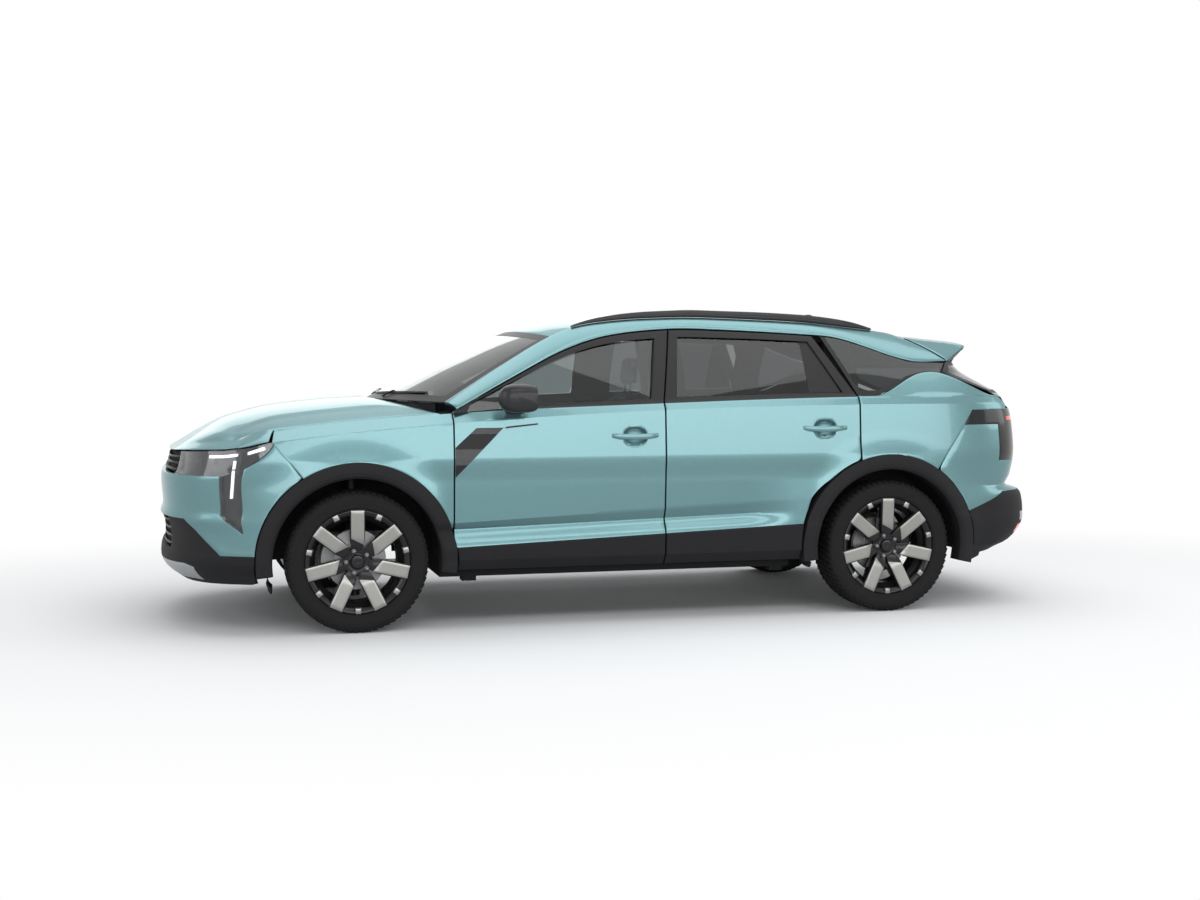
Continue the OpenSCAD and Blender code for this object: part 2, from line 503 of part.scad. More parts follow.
// rows of six-sided cells through the nose
module cells(z, rows, r, reach) {
    step = r * sqrt(3) + cell_wall;
    n = ceil(reach / step);
    for (k = [0:rows - 1]) for (i = [-n:n]) let (y = (i + (k % 2) / 2) * step)
        if (abs(y) < reach) translate([xf, y, z + k * step * sqrt(3) / 2]) rotate([0, 90, 0])
            cylinder(r = r, h = front_overhang + 50, $fn = 6);
}
module grilles() {
    color(trim_black) {
        difference() {
            nose_shell(both([64, 70, 76, 83, 90]), function(q)
                [lift(742) + seat_gap, lift(780), lamp_top(q) - 4], 8, 45);
            cells(lift(772), 2, 20, half_w - 445);
        }
        difference() {
            nose_shell(both([69.1, 76, 83, 90]),
                function(q) let (v = valance_zs(q)) [v[2] + seat_gap, v[3], v[4] - seat_gap], 10, 40);
            cells(416, 3, 24, half_w - 505);
        }
    }
}
function lamp_top(q) = lookup(q,
    lifted([[0, 902], [1, 874], [lamp_a, 874], [36, 862], [64, 850], [79, 842], [90, 838]]));
function lamp_zs(q) = concat([for (k = [2:6]) cover_zs(q)[k] + (q < 1 ? 4.5 : seat_gap)],
    [lookup(q, lifted([[0, 899], [1, 828], [lamp_a, 826], [36, 803], [90, 796]])), lamp_top(q)]);
// a lamp is thin beside the fender and deep behind the lens
function lamp_depth(q) = q < 31 ? skin_t : 60;
module headlamps() {
    // the upright's edges stand a seating gap inside the opening
    cols = [0, 0.35, 0.7, lamp_a + 0.05, 31.5, 35.95, 42, 48, 55, 62, 63.6];
    color([0.75, 0.8, 0.82]) pair()
        shell([for (k = [0:6]) [for (q = cols) nose_at([q, -1], lamp_zs(q)[k], 0)]],
        [for (k = [0:6]) [for (q = cols) nose_at([q, -1], lamp_zs(q)[k], lamp_depth(q))]],
            [[0, 4, 0, 3], [0, 4, 5, 10]]);
}
// rear end
function ledge_z(q) = lookup(q, [[0, 508], [1, 600], [90, 600]]);
module rear_bumper() {
    n = len(both(tail_cols));
    color(paint) tail_shell(flip(both(tail_cols)), function(q) [ledge_z(q), mix(ledge_z(q), 632, 0.6), 632,
        lift(700), lift(762), lift(860), lift(953)], 0, skin_t,
        [[2, 4, 6, n - 7], [4, 6, 2, n - 3]]);
}
module rear_valance() {
    color(trim_black) tail_shell(flip(both(tail_cols)), function(q) let (h = ledge_z(q) - seat_gap)
        [for (v = [0, 0.15, 0.35, 0.55, 0.85, 1]) mix(300, h, v)],
        0, skin_t);
}
module tail_lamps() {
    cols = [for (q = [0, 0.5, tail_lamp_a + 0.05, 38, 45, 52, 58.4]) [q, 1]];
    color([0.5, 0.05, 0.06]) pair()
        tail_shell(cols, function(q) [lift(762) + seat_gap, lift(860), lift(953) + seat_gap,
        lift(990), lamp_z[2] - seat_gap], 0, 60, [[0, 2, 0, 2]]);
}
// lids
function hood_front(y) = xf + (nose_x(lift(850)) - xf - 6) * round_off(abs(y) / (half_w - 14), 3);
function hood_rear(v) = xf - 100 - 310 * v * v;
hood_mid = lifted([[xf - 420, 1100], [xf - 170, 1100], [xf - 100, 1095], [xf + 186, 1070], [xf + 378, 1046],
    [xf + 506, 1014], [xf + 607, 982], [xf + 720, 922], [xf + 815, 868], [xf + 870, 852]]);
function hood_z(x, y) = let (m = curve(x, hood_mid), e = belt_z(x) - 0.6 * max(0, abs(y) - hood_y))
    mix(m, min(m, e), pow(unit(abs(y) / hood_y), 2.4)) + 4;
hood_v = [1, 0.92, 0.75, 0.5, 0.25, 0, -0.25, -0.5, -0.75, -0.92, -1];
hood_u = [0, 0.035, 0.14, 0.28, 0.46, 0.64, 0.82, 1];
// the front edge runs along the lamps, the sides along the fenders
hood_tip = half_w - 47;
function hood_edge(u) = let (x = mix(hood_front(hood_tip), hood_rear(1), u)) u == 0 ? hood_tip :
    side_y(x, belt_z(x)) - shut_gap;
function hood_pt(u, v) = let (y = v * hood_edge(u), x = mix(hood_front(v * hood_tip), hood_rear(v), u),
    a = acos(pow(min(1, abs(v) * hood_tip / (half_w - 14)), 1.5)),
        f = lamp_top(a < lamp_a ? unit((a - 17.8) / (lamp_a - 17.8)) : a) + shut_gap,
    z0 = hood_z(hood_front(v * hood_tip), v * hood_tip))
    [x, y, hood_z(x, y) + (f - z0) * pow(unit(1 - u / 0.14), 2)];
function hood_grid() = [for (v = hood_v) [for (u = hood_u) hood_pt(u, v)]];
function hood_inner() = [for (v = hood_v)
    [for (u = hood_u) hood_pt(u, v) - [0, 0, lookup(u, [[0, 2], [0.035, 10], [0.14, skin_t]])]]];
module bonnet() {
    color(paint) shell(hood_grid(), hood_inner());
}
// tailgate rows from the bumper up: height, middle x, half width, how far the ends wrap forward, inner
// drop, fin drop
gate_v = [1, 0.94, 0.8, 0.5, 0, -0.5, -0.8, -0.94, -1];
gate_t = 36;
gate_rows = concat([for (h = [640, 720, 800, 940, 1034]) let (z = lift(h))
    [z, tail_x(z), half_w - 275, 62, 0]],
    [for (r = [[1048, 0, 193, 118, 0], [1090, 0, 190, 125, 0], [1114, 836, 150, 196, 6],
        [1130, 816, 150, 205, 10],
        [1190, 725, 178, 270, 18], [1222, 675, 196, 300, 20], [1262, 616, 236, 205, 22],
            [1276, 600, 244, 180, 22],
        [1351, 615, 305, 55, 40, 6], [1363, 620, 308, 55, 30, 24], [1384, 400, 318, 10, 30, 52],
            [1399, 213, 322, 0, 26, 8]])
        let (z = lift(r[0])) [z, r[1] == 0 ? tail_x(z) : xr - r[1], half_w - r[2], r[3], r[4], r[5]]]);
gate_top = lift(1347);
gate_lip = lift(1377);
function gate_pt(r, v) = let (q = pow(abs(v), 4))
    [r[1] + r[3] * q, v * r[2], r[0] + (r[0] > gate_top ? 38 * (1 - v * v) : 0)];
function gate_in(r, v) = let (q = pow(abs(v), 4), top = r[0] > gate_top) gate_pt(r, v)
    + (top ? [r[0] > gate_lip ? 0 : 50, 0, -r[4] - (abs(v) == 1 ? r[5] : 0)] :
        [gate_t * (1 - q), -gate_t * v * abs(v), -r[4]]);
function tailgate_outer() = [for (r = gate_rows) [for (v = gate_v) gate_pt(r, v)]];
function tailgate_inner() = [for (r = gate_rows) [for (v = gate_v) gate_in(r, v)]];
module tailgate() {
    color(paint) shell(tailgate_outer(), tailgate_inner(), [[8, 11, 1, 7]]);
}
module tailgate_glass() {
    o = tailgate_outer();
    i = tailgate_inner();
    // a small step in from the opening's edge along each row and column
    function at(g, r, c) = let (a = r == 8 ? mix(g[8][c], g[9][c], 0.02) :
        r == 11 ? mix(g[11][c], g[10][c], 0.02) : g[r][c]) a;
    function cell(g, r, c) = c == 1 ? mix(at(g, r, 1), at(g, r, 2), 0.02) :
        c == 7 ? mix(at(g, r, 7), at(g, r, 6), 0.02) : at(g, r, c);
    color(glass_tint) shell([for (r = [8:11]) [for (c = [1:7]) mix(cell(o, r, c), cell(i, r, c), 0.1)]],
        [for (r = [8:11]) [for (c = [1:7]) mix(cell(o, r, c), cell(i, r, c), 0.25)]]);
}
// glass that stays put
screen_v = [1, 0.94, 0.8, 0.5, 0, -0.5, -0.8, -0.94, -1];
function screen_pt(i, v) = let (p = cant_top_pt(i), t = i / header_i, q = 1 - v * v)
    [p[0] + mix(283, 83, t) * q, v * (p[1] - 2), p[2] - 2 + mix(10, 34, t) * q + 16 * t * (1 - t) * q];
function side_glass_z(x) = lookup(x,
    [for (u = [0:6]) let (q = mix(quarter_x0, lamp_edge(lamp_z[1]), (6 - u) / 6))
    [q, pillar_top(q)]]) + 0.6;
module fixed_glass() {
    g = [for (v = screen_v) [for (i = [0:header_i])
        screen_pt(i, v) - (i == header_i ? [-3, 0, 0] : [0, 0, 0])]];
    color(glass_tint) shell(g, [for (r = g) [for (p = r) p - [0, 0, 5]]]);
    bx = [for (u = [0:4]) mix(quarter_x0, lamp_edge(lamp_z[1]), u / 6)];
    bot = concat([for (x = bx) [x, side_glass_z(x)]], [[xr - 338, side_glass_z(xr - 338)]]);
    top = [for (i = [15, 16, 17, 18, 19, 20]) let (x = cant_x[i][0] + (i == 20 ? -70 : 0))
        [x, cant_z(x) - (i > 18 ? 9 : 5)]];
    rows = [for (v = [0, 0.5, 1]) [for (i = [0:5]) mix(bot[i], top[i], v)]];
    color(glass_tint) pair() shell([for (r = rows) [for (p = r) [p[0], side_y(p[0], p[1]) - 4, p[1]]]],
        [for (r = rows) [for (p = r) [p[0], side_y(p[0], p[1]) - 12, p[1]]]]);
}
module cowl() {
    h = hood_inner();
    n = len(hood_u) - 1;
    // front edge lies under the bonnet's rear edge, rear edge under the glass
    g = [for (j = [1:len(hood_v) - 2])
        let (v = hood_v[j], e = mix(h[j][n], h[j][n - 1], 0.12) - [0, 0, 0.7], s = screen_pt(0, v))
        [e, [e[0] - 60, e[1], e[2] - 6], [s[0] - 6, v * (half_w - 150), s[2] - 6]]];
    function inside(p) = [p[0], sign(p[1]) * min(abs(p[1]), floor_w - 4), p[2]];
    color(trim_black) shell([for (r = g) [for (p = r) inside(p)]],
        [for (r = g) [for (p = r) inside(p) - [0, 0, 30]]]);
}
// underside and inside
// wheel house: half drum over the tyre with an inner wall
module liner(x, yi, a0, a1) {
    yo = half_w - 96 - seat_gap;
    translate([x, 0, wheel_z]) rotate([90, 0, 0]) rotate([0, 0, a0]) mirror([0, 0, 1])
        rotate_extrude(angle = a1 - a0)
        polygon([[liner_r, yo], [liner_r + 5, yo], [liner_r + 5, yi - 5], [210, yi - 5], [210, yi],
            [liner_r, yi]]);
}
module wheel_liners() {
    color(trim_black) pair() {
        liner(xf, liner_in[0], -4, 180);
        liner(xr, liner_in[1], -4, 184);
    }
}
module floor_pan() {
    x0 = xr + 480;
    rail_y = liner_in[0] - 5 - seat_gap;
    rear_w = liner_in[1] - 5 - seat_gap;
    // the beam's block reaches the bumper at one of its rows
    block_z = cover_zs(90)[3];
    nose_in = nose_x(block_z) - skin_t - 0.9;
    wall_x = xf - liner_r - 8;
    color(steel_grey) {
        // main floor, rear seat pan, boot floor and the walls between them
        translate([x0, -floor_w, 230]) cube([wall_x - x0, 2 * floor_w, 30]);
        translate([x0, -rear_w, 230]) cube([25, 2 * rear_w, 200]);
        translate([xr + 175, -rear_w, 405]) cube([x0 + 25 - xr - 175, 2 * rear_w, 25]);
        translate([xr + 175, -rear_w, 405]) cube([25, 2 * rear_w, 145]);
        translate([xr - 800, -rear_w, 525]) cube([1000, 2 * rear_w, 25]);
        // bulkhead, front rails, bumper beam and its centre block
        translate([wall_x - 30, -floor_w, 230]) cube([30, 2 * floor_w, lift(945) - 230]);
        for (s = [0, 1]) mirror([0, s, 0]) translate([wall_x - 10, rail_y - 70, 440])
            cube([xf + 700 - wall_x, 70, 100]);
        translate([xf + 660, -rail_y, 450]) cube([50, 2 * rail_y, 80]);
        translate([xf + 700, -30, 470]) cube([20, 60, 180]);
        translate([xf + 700, -8, block_z - 6]) cube([nose_in - xf - 700, 16, 12]);
        // arm brackets of the rear axle and jacking pads under the sills
        for (s = [0, 1]) mirror([0, s, 0]) {
            translate([xr + 424, arm_y + 8, 340 + seat_gap]) cube([36, 34, 70]);
            for (x = [xf - 560, x0 + 60]) translate([x - 35, floor_w - 90, 205]) cube([70, 70, 30]);
        }
    }
}
// dashboard: a moulded section run across the car, with a hood over the dials and a screen
module dashboard() {
    z = lift(780);
    w = half_w - 215;
    module across(from, to, pts) {
        translate([dash_x, to, z]) rotate([90, 0, 0]) linear_extrude(to - from) polygon(pts);
    }
    color(trim_black) {
        across(-w, w, [[46, 0], [12, 36], [0, 92], [14, 138], [56, 170], [132, 188], [240, 176], [240, 18],
            [190, 0]]);
        across(seat_y - 165, seat_y + 165,
            [[30, 140], [14, 204], [40, 226], [120, 220], [170, 172], [120, 150]]);
        translate([dash_x + 6, -130, z + 124]) rotate([0, -12, 0]) cube([14, 260, 124]);
        translate([xf - 800, seat_y, lift(860)]) rotate([0, -65, 0]) steering_wheel();
        // console between the seats, a seating gap above the floor
        translate([0, console_y, 0]) rotate([90, 0, 0]) linear_extrude(2 * console_y)
            polygon([[seat_x - 40, 260 + seat_gap], [dash_x + 30, 260 + seat_gap], [dash_x + 30, 500],
                [dash_x - 60, 528],
                [seat_x - 40, 512]]);
    }
}
module steering_wheel() {
    r = steer_d / 2 - 15;
    rotate_extrude() translate([r, 14]) circle(r = 15, $fn = 24);
    translate([0, 0, -8]) cylinder(r = 62, h = 34);
    for (a = [90, 180, 270]) rotate(a) translate([40, -16, 4]) cube([r - 40, 32, 16]);
    translate([0, 0, -190]) cylinder(r = 30, h = 186);
}
module seat(x, w) {
    top = lift(1140);
    hull() {
        translate([x, -w / 2, seat_z - 120]) cube([seat_l - 10, w, 20]);
        translate([x + 20, -w / 2 + 20, seat_z - 20]) cube([seat_l - 20, w - 40, 20]);
    }
    hull() {
        translate([x - 20, -w / 2, seat_z - 100]) cube([120, w, 60]);
        translate([x - seat_lean, -w / 2 + 40, top - 40]) cube([80, w - 80, 40]);
    }
    translate([x - seat_lean - 10, -110, top - 10]) cube([70, 220, lift(1310) - top + 10]);
    translate([x + 40, -w / 2 + 60, 260]) cube([380, w - 120, seat_z - 370]);
}
module seats() {
    bench_w = liner_in[1] - 13;
    color(cloth_grey) {
        pair() translate([0, seat_y, 0]) seat(seat_x, seat_w);
        translate([bench_x, -bench_w, seat_z - 125]) cube([bench_l, 2 * bench_w, 125]);
        hull() {
            translate([bench_x - 60, -bench_w, seat_z - 125]) cube([140, 2 * bench_w, 60]);
            translate([bench_x - 200, -bench_w + 70, lift(1040)]) cube([90, 2 * bench_w - 140, 40]);
        }
        translate([bench_x + 110, -bench_w + 100, 260]) cube([320, 2 * bench_w - 200, seat_z - 370]);
    }
}
module engine() {
    color(steel_grey) translate([xf - 180, -sub_y + 70, 240]) cube([480, 2 * sub_y - 140, lift(830) - 240]);
}
module front_suspension() {
    py = wheel_y - pivot_in;
    strut_top = wheel_z + liner_r - 1.3;
    color(steel_grey) {
        translate([xf - 90, -sub_y, 190]) cube([180, 2 * sub_y, 50]);
        pair() {
            translate([xf - 40, sub_y - 55, 200]) cube([80, 40, 240]);
            difference() {
                hull() {
                    translate([xf - 80, sub_y - 20, 190]) cube([160, 20, 26]);
                    translate([xf, py, 158]) cylinder(r = 22, h = 24);
                }
                translate([xf, py, 150]) cylinder(r = 10 + pin_gap, h = 40);
            }
            difference() {
                union() {
                    translate([xf, py, wheel_z + 102]) cylinder(r = 18, h = 20);
                    translate([xf - 15, py - 140, wheel_z + 104]) cube([30, 140, 16]);
                    translate([xf, py - 140, wheel_z + 90]) cylinder(r = 26, h = strut_top - wheel_z - 90);
                }
                translate([xf, py, wheel_z + 95]) cylinder(r = 10 + pin_gap, h = 40);
            }
        }
    }
}
// brake caliper: a sector that straddles the disc, its bracket reaching the hub at depth d
module caliper(x, turn, d) {
    translate([x, wheel_y, wheel_z]) rotate([-90, 0, 0]) rotate(turn - 24) rotate_extrude(angle = 48)
        polygon([[44, -d - 14], [150, -d - 14], [172, -d], [172, -12], [164, -5], [106, -5],
            [106, disc_out + disc_gap],
            [disc_r + disc_gap, disc_out + disc_gap], [disc_r + disc_gap, disc_out - disc_t - disc_gap],
            [106, disc_out - disc_t - disc_gap], [106, -d], [44, -d]]);
}
module knuckle_left() {
    py = wheel_y - pivot_in;
    color(steel_grey) {
        translate([xf, py - 22, wheel_z]) rotate([-90, 0, 0]) cylinder(r = 58, h = 40);
        translate([xf, py + 10, wheel_z]) rotate([-90, 0, 0]) cylinder(r = 25 - pin_gap, h = 120);
        translate([xf - 26, py - 20, 190]) cube([52, 36, wheel_z - 95]);
        translate([xf, py, 156]) cylinder(r = 10, h = 60);
        translate([xf, py, wheel_z + 60]) cylinder(r = 10, h = 64);
        caliper(xf, -12, 62);
    }
}
module rear_axle() {
    hub_in = wheel_y - 100;
    color(steel_grey) {
        translate([xr + 200, -arm_y - 20, 300]) rotate([-90, 0, 0]) cylinder(r = 45, h = 2 * arm_y + 40);
        pair() {
            hull() {
                translate([xr + 420, arm_y, 300]) rotate([-90, 0, 0]) cylinder(r = 40, h = 50);
                translate([xr, arm_y + 20, wheel_z]) rotate([-90, 0, 0]) cylinder(r = 55, h = 60);
            }
            translate([xr, arm_y + 40, wheel_z]) rotate([-90, 0, 0])
                cylinder(r = 52, h = hub_in - arm_y - 40);
            translate([xr, arm_y + 100, wheel_z]) rotate([-90, 0, 0])
                cylinder(r = 25 - pin_gap, h = wheel_y - arm_y - 60);
            caliper(xr, -168, 104);
        }
    }
}
// exhaust: down from the engine, along under the floor, up behind the axle to the silencer
module exhaust() {
    y = -120;
    low = 201;
    box = [xr - 560, -420, 290];
    box_size = [180, 340, 120];
    front = xf - 215;
    rise = xr + 90;
    color([0.5, 0.5, 0.5]) {
        translate([front, y, low]) cylinder(r = pipe_r, h = 120);
        translate([rise, y, low]) rotate([0, 90, 0]) cylinder(r = pipe_r, h = front - rise);
        for (x = [front, rise]) translate([x, y, low]) sphere(r = pipe_r);
        hull() {
            translate([rise, y, low]) sphere(r = pipe_r - 0.5, $fn = 24);
            translate([box[0] + box_size[0], y, box[2] + 60]) sphere(r = pipe_r - 0.5, $fn = 24);
        }
        translate([box[0] - 80, -350, 330]) rotate([0, 90, 0]) cylinder(r = pipe_r + 3, h = 300);
        translate(box) cube(box_size);
        // hangers that reach the floor
        translate([box[0] + 80, -250, 400]) cylinder(r = 12, h = 125 - seat_gap);
        for (x = [split_x, rise + 420]) translate([x, y, low]) cylinder(r = 9, h = 230 - low - seat_gap);
    }
}
// wheel built about +Z, outer face up, first spoke at the top of the wheel
module rim() {
    r = rim_d / 2;
    color(steel_grey) {
        rotate_extrude() polygon([[r + 17, 96], [r + 17, 88], [r, 84], [r - 1, 60], [r - 24, 40],
            [r - 24, -60], [r - 1, -84], [r, -84],
            [r + 17, -88], [r + 17, -96], [r + 9, -96], [r - 7, -92], [r - 15, -78], [r - 34, -56],
                [r - 34, 32], [r - 15, 52], [r - 9, 84], [r + 9, 96]]);
        difference() {
            union() {
                translate([0, 0, -14]) cylinder(r = 72, h = 84);
                translate([0, 0, disc_out - disc_t]) cylinder(r = disc_r, h = disc_t);
                translate([0, 0, -30]) cylinder(r = 85, h = 20);
                for (k = [0:spokes - 1]) rotate(k * 360 / spokes - 90) translate([0, 31, 0])
                    rotate([90, 0, 0]) linear_extrude(62)
                    polygon([[60, 0], [60, 74], [100, 90], [r + 15, 99], [r + 15, 91], [r - 5, 86],
                        [r - 12, 54], [r - 29, 34], [r - 29, 0]]);
            }
            translate([0, 0, -50]) cylinder(r = 25, h = 110);
            // seats of the wheel nuts
            for (k = [0:4]) rotate(k * 72 + 18) translate([lug_r, 0, 52]) cylinder(r = 11, h = 40);
        }
    }
}
module tyre() {
    r = rim_d / 2;
    h = tyre_d / 2;
    w = tyre_w / 2;
    half = [[r + 0.6, 60], [r + 0.6, 83], [r + 17.6, 87.2], [r + 21, 100], [h - 50, w], [h - 20, w - 4],
        [h - 5, w - 17], [h, w - 32]];
    inside = [[h - 15, w - 38], [h - 24, w - 18], [h - 50, w - 15], [r + 21, 82]];
    color(trim_black) rotate_extrude()
        polygon(concat(half, [for (i = [len(half) - 1:-1:0]) [half[i][0], -half[i][1]]],
        [for (i = [len(inside) - 1:-1:0]) [inside[i][0], -inside[i][1]]], inside));
}
module wheel_at(x, side) {
    translate([x, side * wheel_y, wheel_z]) rotate([side > 0 ? -90 : 90, 0, 0]) children();
}

car() floor_pan();
car() body_sides();
car() cant_rails();
car() front_fenders();
car() quarter_panels();
car() roof();
car() roof_rails();
car() front_bumper();
car() front_valance();
car() grilles();
car() headlamps();
car() rear_bumper();
car() rear_valance();
car() tail_lamps();
car() arch_flares();
car() wheel_liners();
car() fixed_glass();
car() cowl();
car() dashboard();
car() seats();
car() engine();
car() front_suspension();
car() rear_axle();
car() exhaust();
car() knuckle_left();
car() mirror([0, 1, 0]) knuckle_left();  // knuckle_right
car() wheel_at(xf, 1) rim();  // rim_front_left
car() wheel_at(xf, -1) rim();  // rim_front_right
car() wheel_at(xr, 1) rim();  // rim_rear_left
car() wheel_at(xr, -1) rim();  // rim_rear_right
car() wheel_at(xf, 1) tyre();  // tyre_front_left
car() wheel_at(xf, -1) tyre();  // tyre_front_right
car() wheel_at(xr, 1) tyre();  // tyre_rear_left
car() wheel_at(xr, -1) tyre();  // tyre_rear_right
car() door_front_left();
car() mirror([0, 1, 0]) door_front_left();  // door_front_right
car() door_rear_left();
car() mirror([0, 1, 0]) door_rear_left();  // door_rear_right
car() glass_front_left();
car() mirror([0, 1, 0]) glass_front_left();  // glass_front_right
car() glass_rear_left();
car() mirror([0, 1, 0]) glass_rear_left();  // glass_rear_right
car() mirror_left();
car() mirror([0, 1, 0]) mirror_left();  // mirror_right
car() bonnet();
car() tailgate();
car() tailgate_glass();
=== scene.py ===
import bpy
import bmesh
import json
import numpy as np
from math import sin, cos, pi, sqrt, radians, degrees, atan2, asin
from mathutils import Matrix, Vector


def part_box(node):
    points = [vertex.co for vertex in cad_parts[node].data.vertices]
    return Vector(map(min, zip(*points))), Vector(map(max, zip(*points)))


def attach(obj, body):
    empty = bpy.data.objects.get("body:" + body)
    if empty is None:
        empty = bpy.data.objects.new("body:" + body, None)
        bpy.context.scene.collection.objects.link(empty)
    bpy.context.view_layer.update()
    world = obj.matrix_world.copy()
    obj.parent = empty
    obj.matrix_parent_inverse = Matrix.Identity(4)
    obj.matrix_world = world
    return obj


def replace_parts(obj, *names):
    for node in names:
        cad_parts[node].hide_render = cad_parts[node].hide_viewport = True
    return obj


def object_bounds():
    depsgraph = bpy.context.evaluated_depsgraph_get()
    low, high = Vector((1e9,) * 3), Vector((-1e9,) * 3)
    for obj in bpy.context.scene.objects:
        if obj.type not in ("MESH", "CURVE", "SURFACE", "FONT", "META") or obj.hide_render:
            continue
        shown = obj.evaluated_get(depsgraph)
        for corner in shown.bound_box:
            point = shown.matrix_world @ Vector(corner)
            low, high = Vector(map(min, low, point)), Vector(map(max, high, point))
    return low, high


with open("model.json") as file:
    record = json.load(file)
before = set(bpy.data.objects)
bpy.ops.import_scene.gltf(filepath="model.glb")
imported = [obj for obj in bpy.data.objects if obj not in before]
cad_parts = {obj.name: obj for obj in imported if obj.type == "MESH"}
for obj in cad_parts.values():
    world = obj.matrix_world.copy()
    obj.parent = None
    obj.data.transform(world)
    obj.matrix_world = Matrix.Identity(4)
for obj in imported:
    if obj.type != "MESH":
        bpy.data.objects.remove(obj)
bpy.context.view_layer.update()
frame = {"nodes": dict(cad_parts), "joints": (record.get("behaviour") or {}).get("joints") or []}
joints = {j["name"]: j for j in frame["joints"]}
frontHub = joints["wheel_front_left_spin"]["pos_m"]
rearHub = joints["wheel_rear_left_spin"]["pos_m"]

# lengths are millimetres about the middle of the wheelbase, as in the part's source; meshes are in metres
xf = (frontHub[0] - rearHub[0]) * 500
xr = -xf
midX = frontHub[0] * 1000 - xf
mm = 0.001
wheelY = frontHub[1] * 1000
wheelZ = frontHub[2] * 1000
sillZ = round(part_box("door_front_left")[0].z * 1000, 1)
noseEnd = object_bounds()[1].x * 1000 - midX
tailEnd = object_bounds()[0].x * 1000 - midX
body = {"halfW": 905, "roofH": 1537, "doorLine": 452, "archR": 395, "flareW": 75, "shutGap": 8, "skin": 24,
        "splitX": -155}
halfW = body["halfW"]
roofH = body["roofH"]
archR = body["archR"]
flareR = archR + body["flareW"]
gap = body["shutGap"]
splitX = body["splitX"]
sides = (("left", False), ("right", True))


# curve helpers, all of them on arrays
def mix(a, b, t):
    return a + (b - a) * t


def unit(t):
    return np.clip(t, 0, 1)


def ease(t):
    c = unit(t)
    return c * c * (3 - 2 * c)


def curve(x, pts):  # smooth curve through points in rising order
    xs = np.array([p[0] for p in pts], float)
    ys = np.array([p[1] for p in pts], float)
    n = len(xs)
    lo = np.maximum(np.arange(n) - 1, 0)
    hi = np.minimum(np.arange(n) + 1, n - 1)
    slope = (ys[hi] - ys[lo]) / (xs[hi] - xs[lo])
    x = np.clip(x, xs[0], xs[-1])
    i = np.clip(np.searchsorted(xs, x, "right") - 1, 0, n - 2)
    d = xs[i + 1] - xs[i]
    t = (x - xs[i]) / d
    return (ys[i] * (2 * t ** 3 - 3 * t * t + 1) + slope[i] * d * (t ** 3 - 2 * t * t + t)
            + ys[i + 1] * (3 * t * t - 2 * t ** 3) + slope[i + 1] * d * (t ** 3 - t * t))


def steps(z, stops, soft=()):  # straight runs between stops, whose heights may be arrays; soft ones are eased
    out = stops[0][1] + 0 * z
    for k in range(len(stops) - 1):
        t = unit((z - stops[k][0]) / (stops[k + 1][0] - stops[k][0]))
        out = out + (stops[k + 1][1] - stops[k][1]) * (ease(t) if k in soft else t)
    return out


def signedPower(v, p):
    return np.sign(v) * abs(v) ** p


def fine(stops, counts):  # a list of values that keeps each stop and adds even steps between
    out = [stops[0]]
    for a, b, n in zip(stops, stops[1:], counts):
        out += [a + (b - a) * (k + 1) / n for k in range(n)]
    return np.array(out, float)


def even(stops, n):
    return fine(stops, [n] * (len(stops) - 1))


def bothSides(stops, counts):  # from the left edge over the middle to the right edge
    half = fine(stops, counts)
    return np.concatenate([half, -half[::-1][1:]])


# body lines
beltPts = [(xr - 850, 1100), (xr + 183, 1099), (-155, 1072), (xf - 460, 1029), (xf + 358, 953),
           (xf + 545, 876)]
shoulderPts = [(xr - 850, 1060), (xr + 163, 1061), (-162, 1040), (xf - 449, 983), (xf + 358, 905),
               (xf + 545, 850)]
nosePts = [(220, 105), (265, 39), (306, 7), (354, 3), (395, 14), (485, 15), (533, 2), (570, 14), (722, 8),
           (784, 32), (850, 45)]
tailPts = [(290, 190), (327, 100), (400, 20), (458, 2), (554, 10), (600, 38), (625, 118), (671, 92),
           (788, 68), (936, 76), (1028, 97), (1100, 130)]
cantLow = [(xr - 393, roofH - 255), (xr - 173, roofH - 252), (xr + 197, roofH - 138), (xr + 409, roofH - 117),
           (-510, roofH - 97), (-241, roofH - 94), (xf - 1270, roofH - 128), (xf - 1040, roofH - 198),
           (xf - 770, roofH - 330), (xf - 477, 1051)]
cantTop = [(xr - 210, roofH - 135), (xr - 109, roofH - 106), (xr + 150, roofH - 77), (xr + 385, roofH - 55),
           (-510, roofH - 37), (-305, roofH - 35), (xf - 1287, roofH - 56), (xf - 1040, roofH - 107),
           (xf - 712, roofH - 282), (xf - 433, 1084)]
cantIn = [(xr - 210, 320), (xr - 109, 315), (xr + 150, 308), (xr + 385, 305), (-510, 302), (-305, 302),
          (xf - 1287, 296), (xf - 1040, 268), (xf - 712, 205), (xf - 433, 140)]
cantX = np.array([[xf - 477, xf - 433], [xf - 570, xf - 520], [xf - 670, xf - 612], [xf - 770, xf - 712],
                  [xf - 860, xf - 800], [xf - 950, xf - 890], [xf - 1040, xf - 980], [xf - 1150, xf - 1090],
                  [xf - 1270, xf - 1230], [-100, -80], [-241, -230], [-380, -380], [-510, -510], [-730, -730],
                  [xr + 409, xr + 409], [xr + 300, xr + 300], [xr + 197, xr + 170], [xr + 80, xr + 80],
                  [xr - 40, xr - 20], [xr - 173, xr - 100], [xr - 290, xr - 160], [xr - 393, xr - 205]],
                 float)
headerI = 6
lastI = len(cantX) - 1


def beltZ(x):
    return curve(x, beltPts)


def shoulderZ(x):
    return curve(x, shoulderPts)


def cladZ(x):
    return sillZ + 140 - 0.04 * x


def grooveZ(x):
    return sillZ + 222 - 0.03 * x


def faceZ(x):
    return sillZ + 268 - 0.045 * x


def beltIn(x):
    return 36 + 69 * ease((x - xf + 650) / 400)


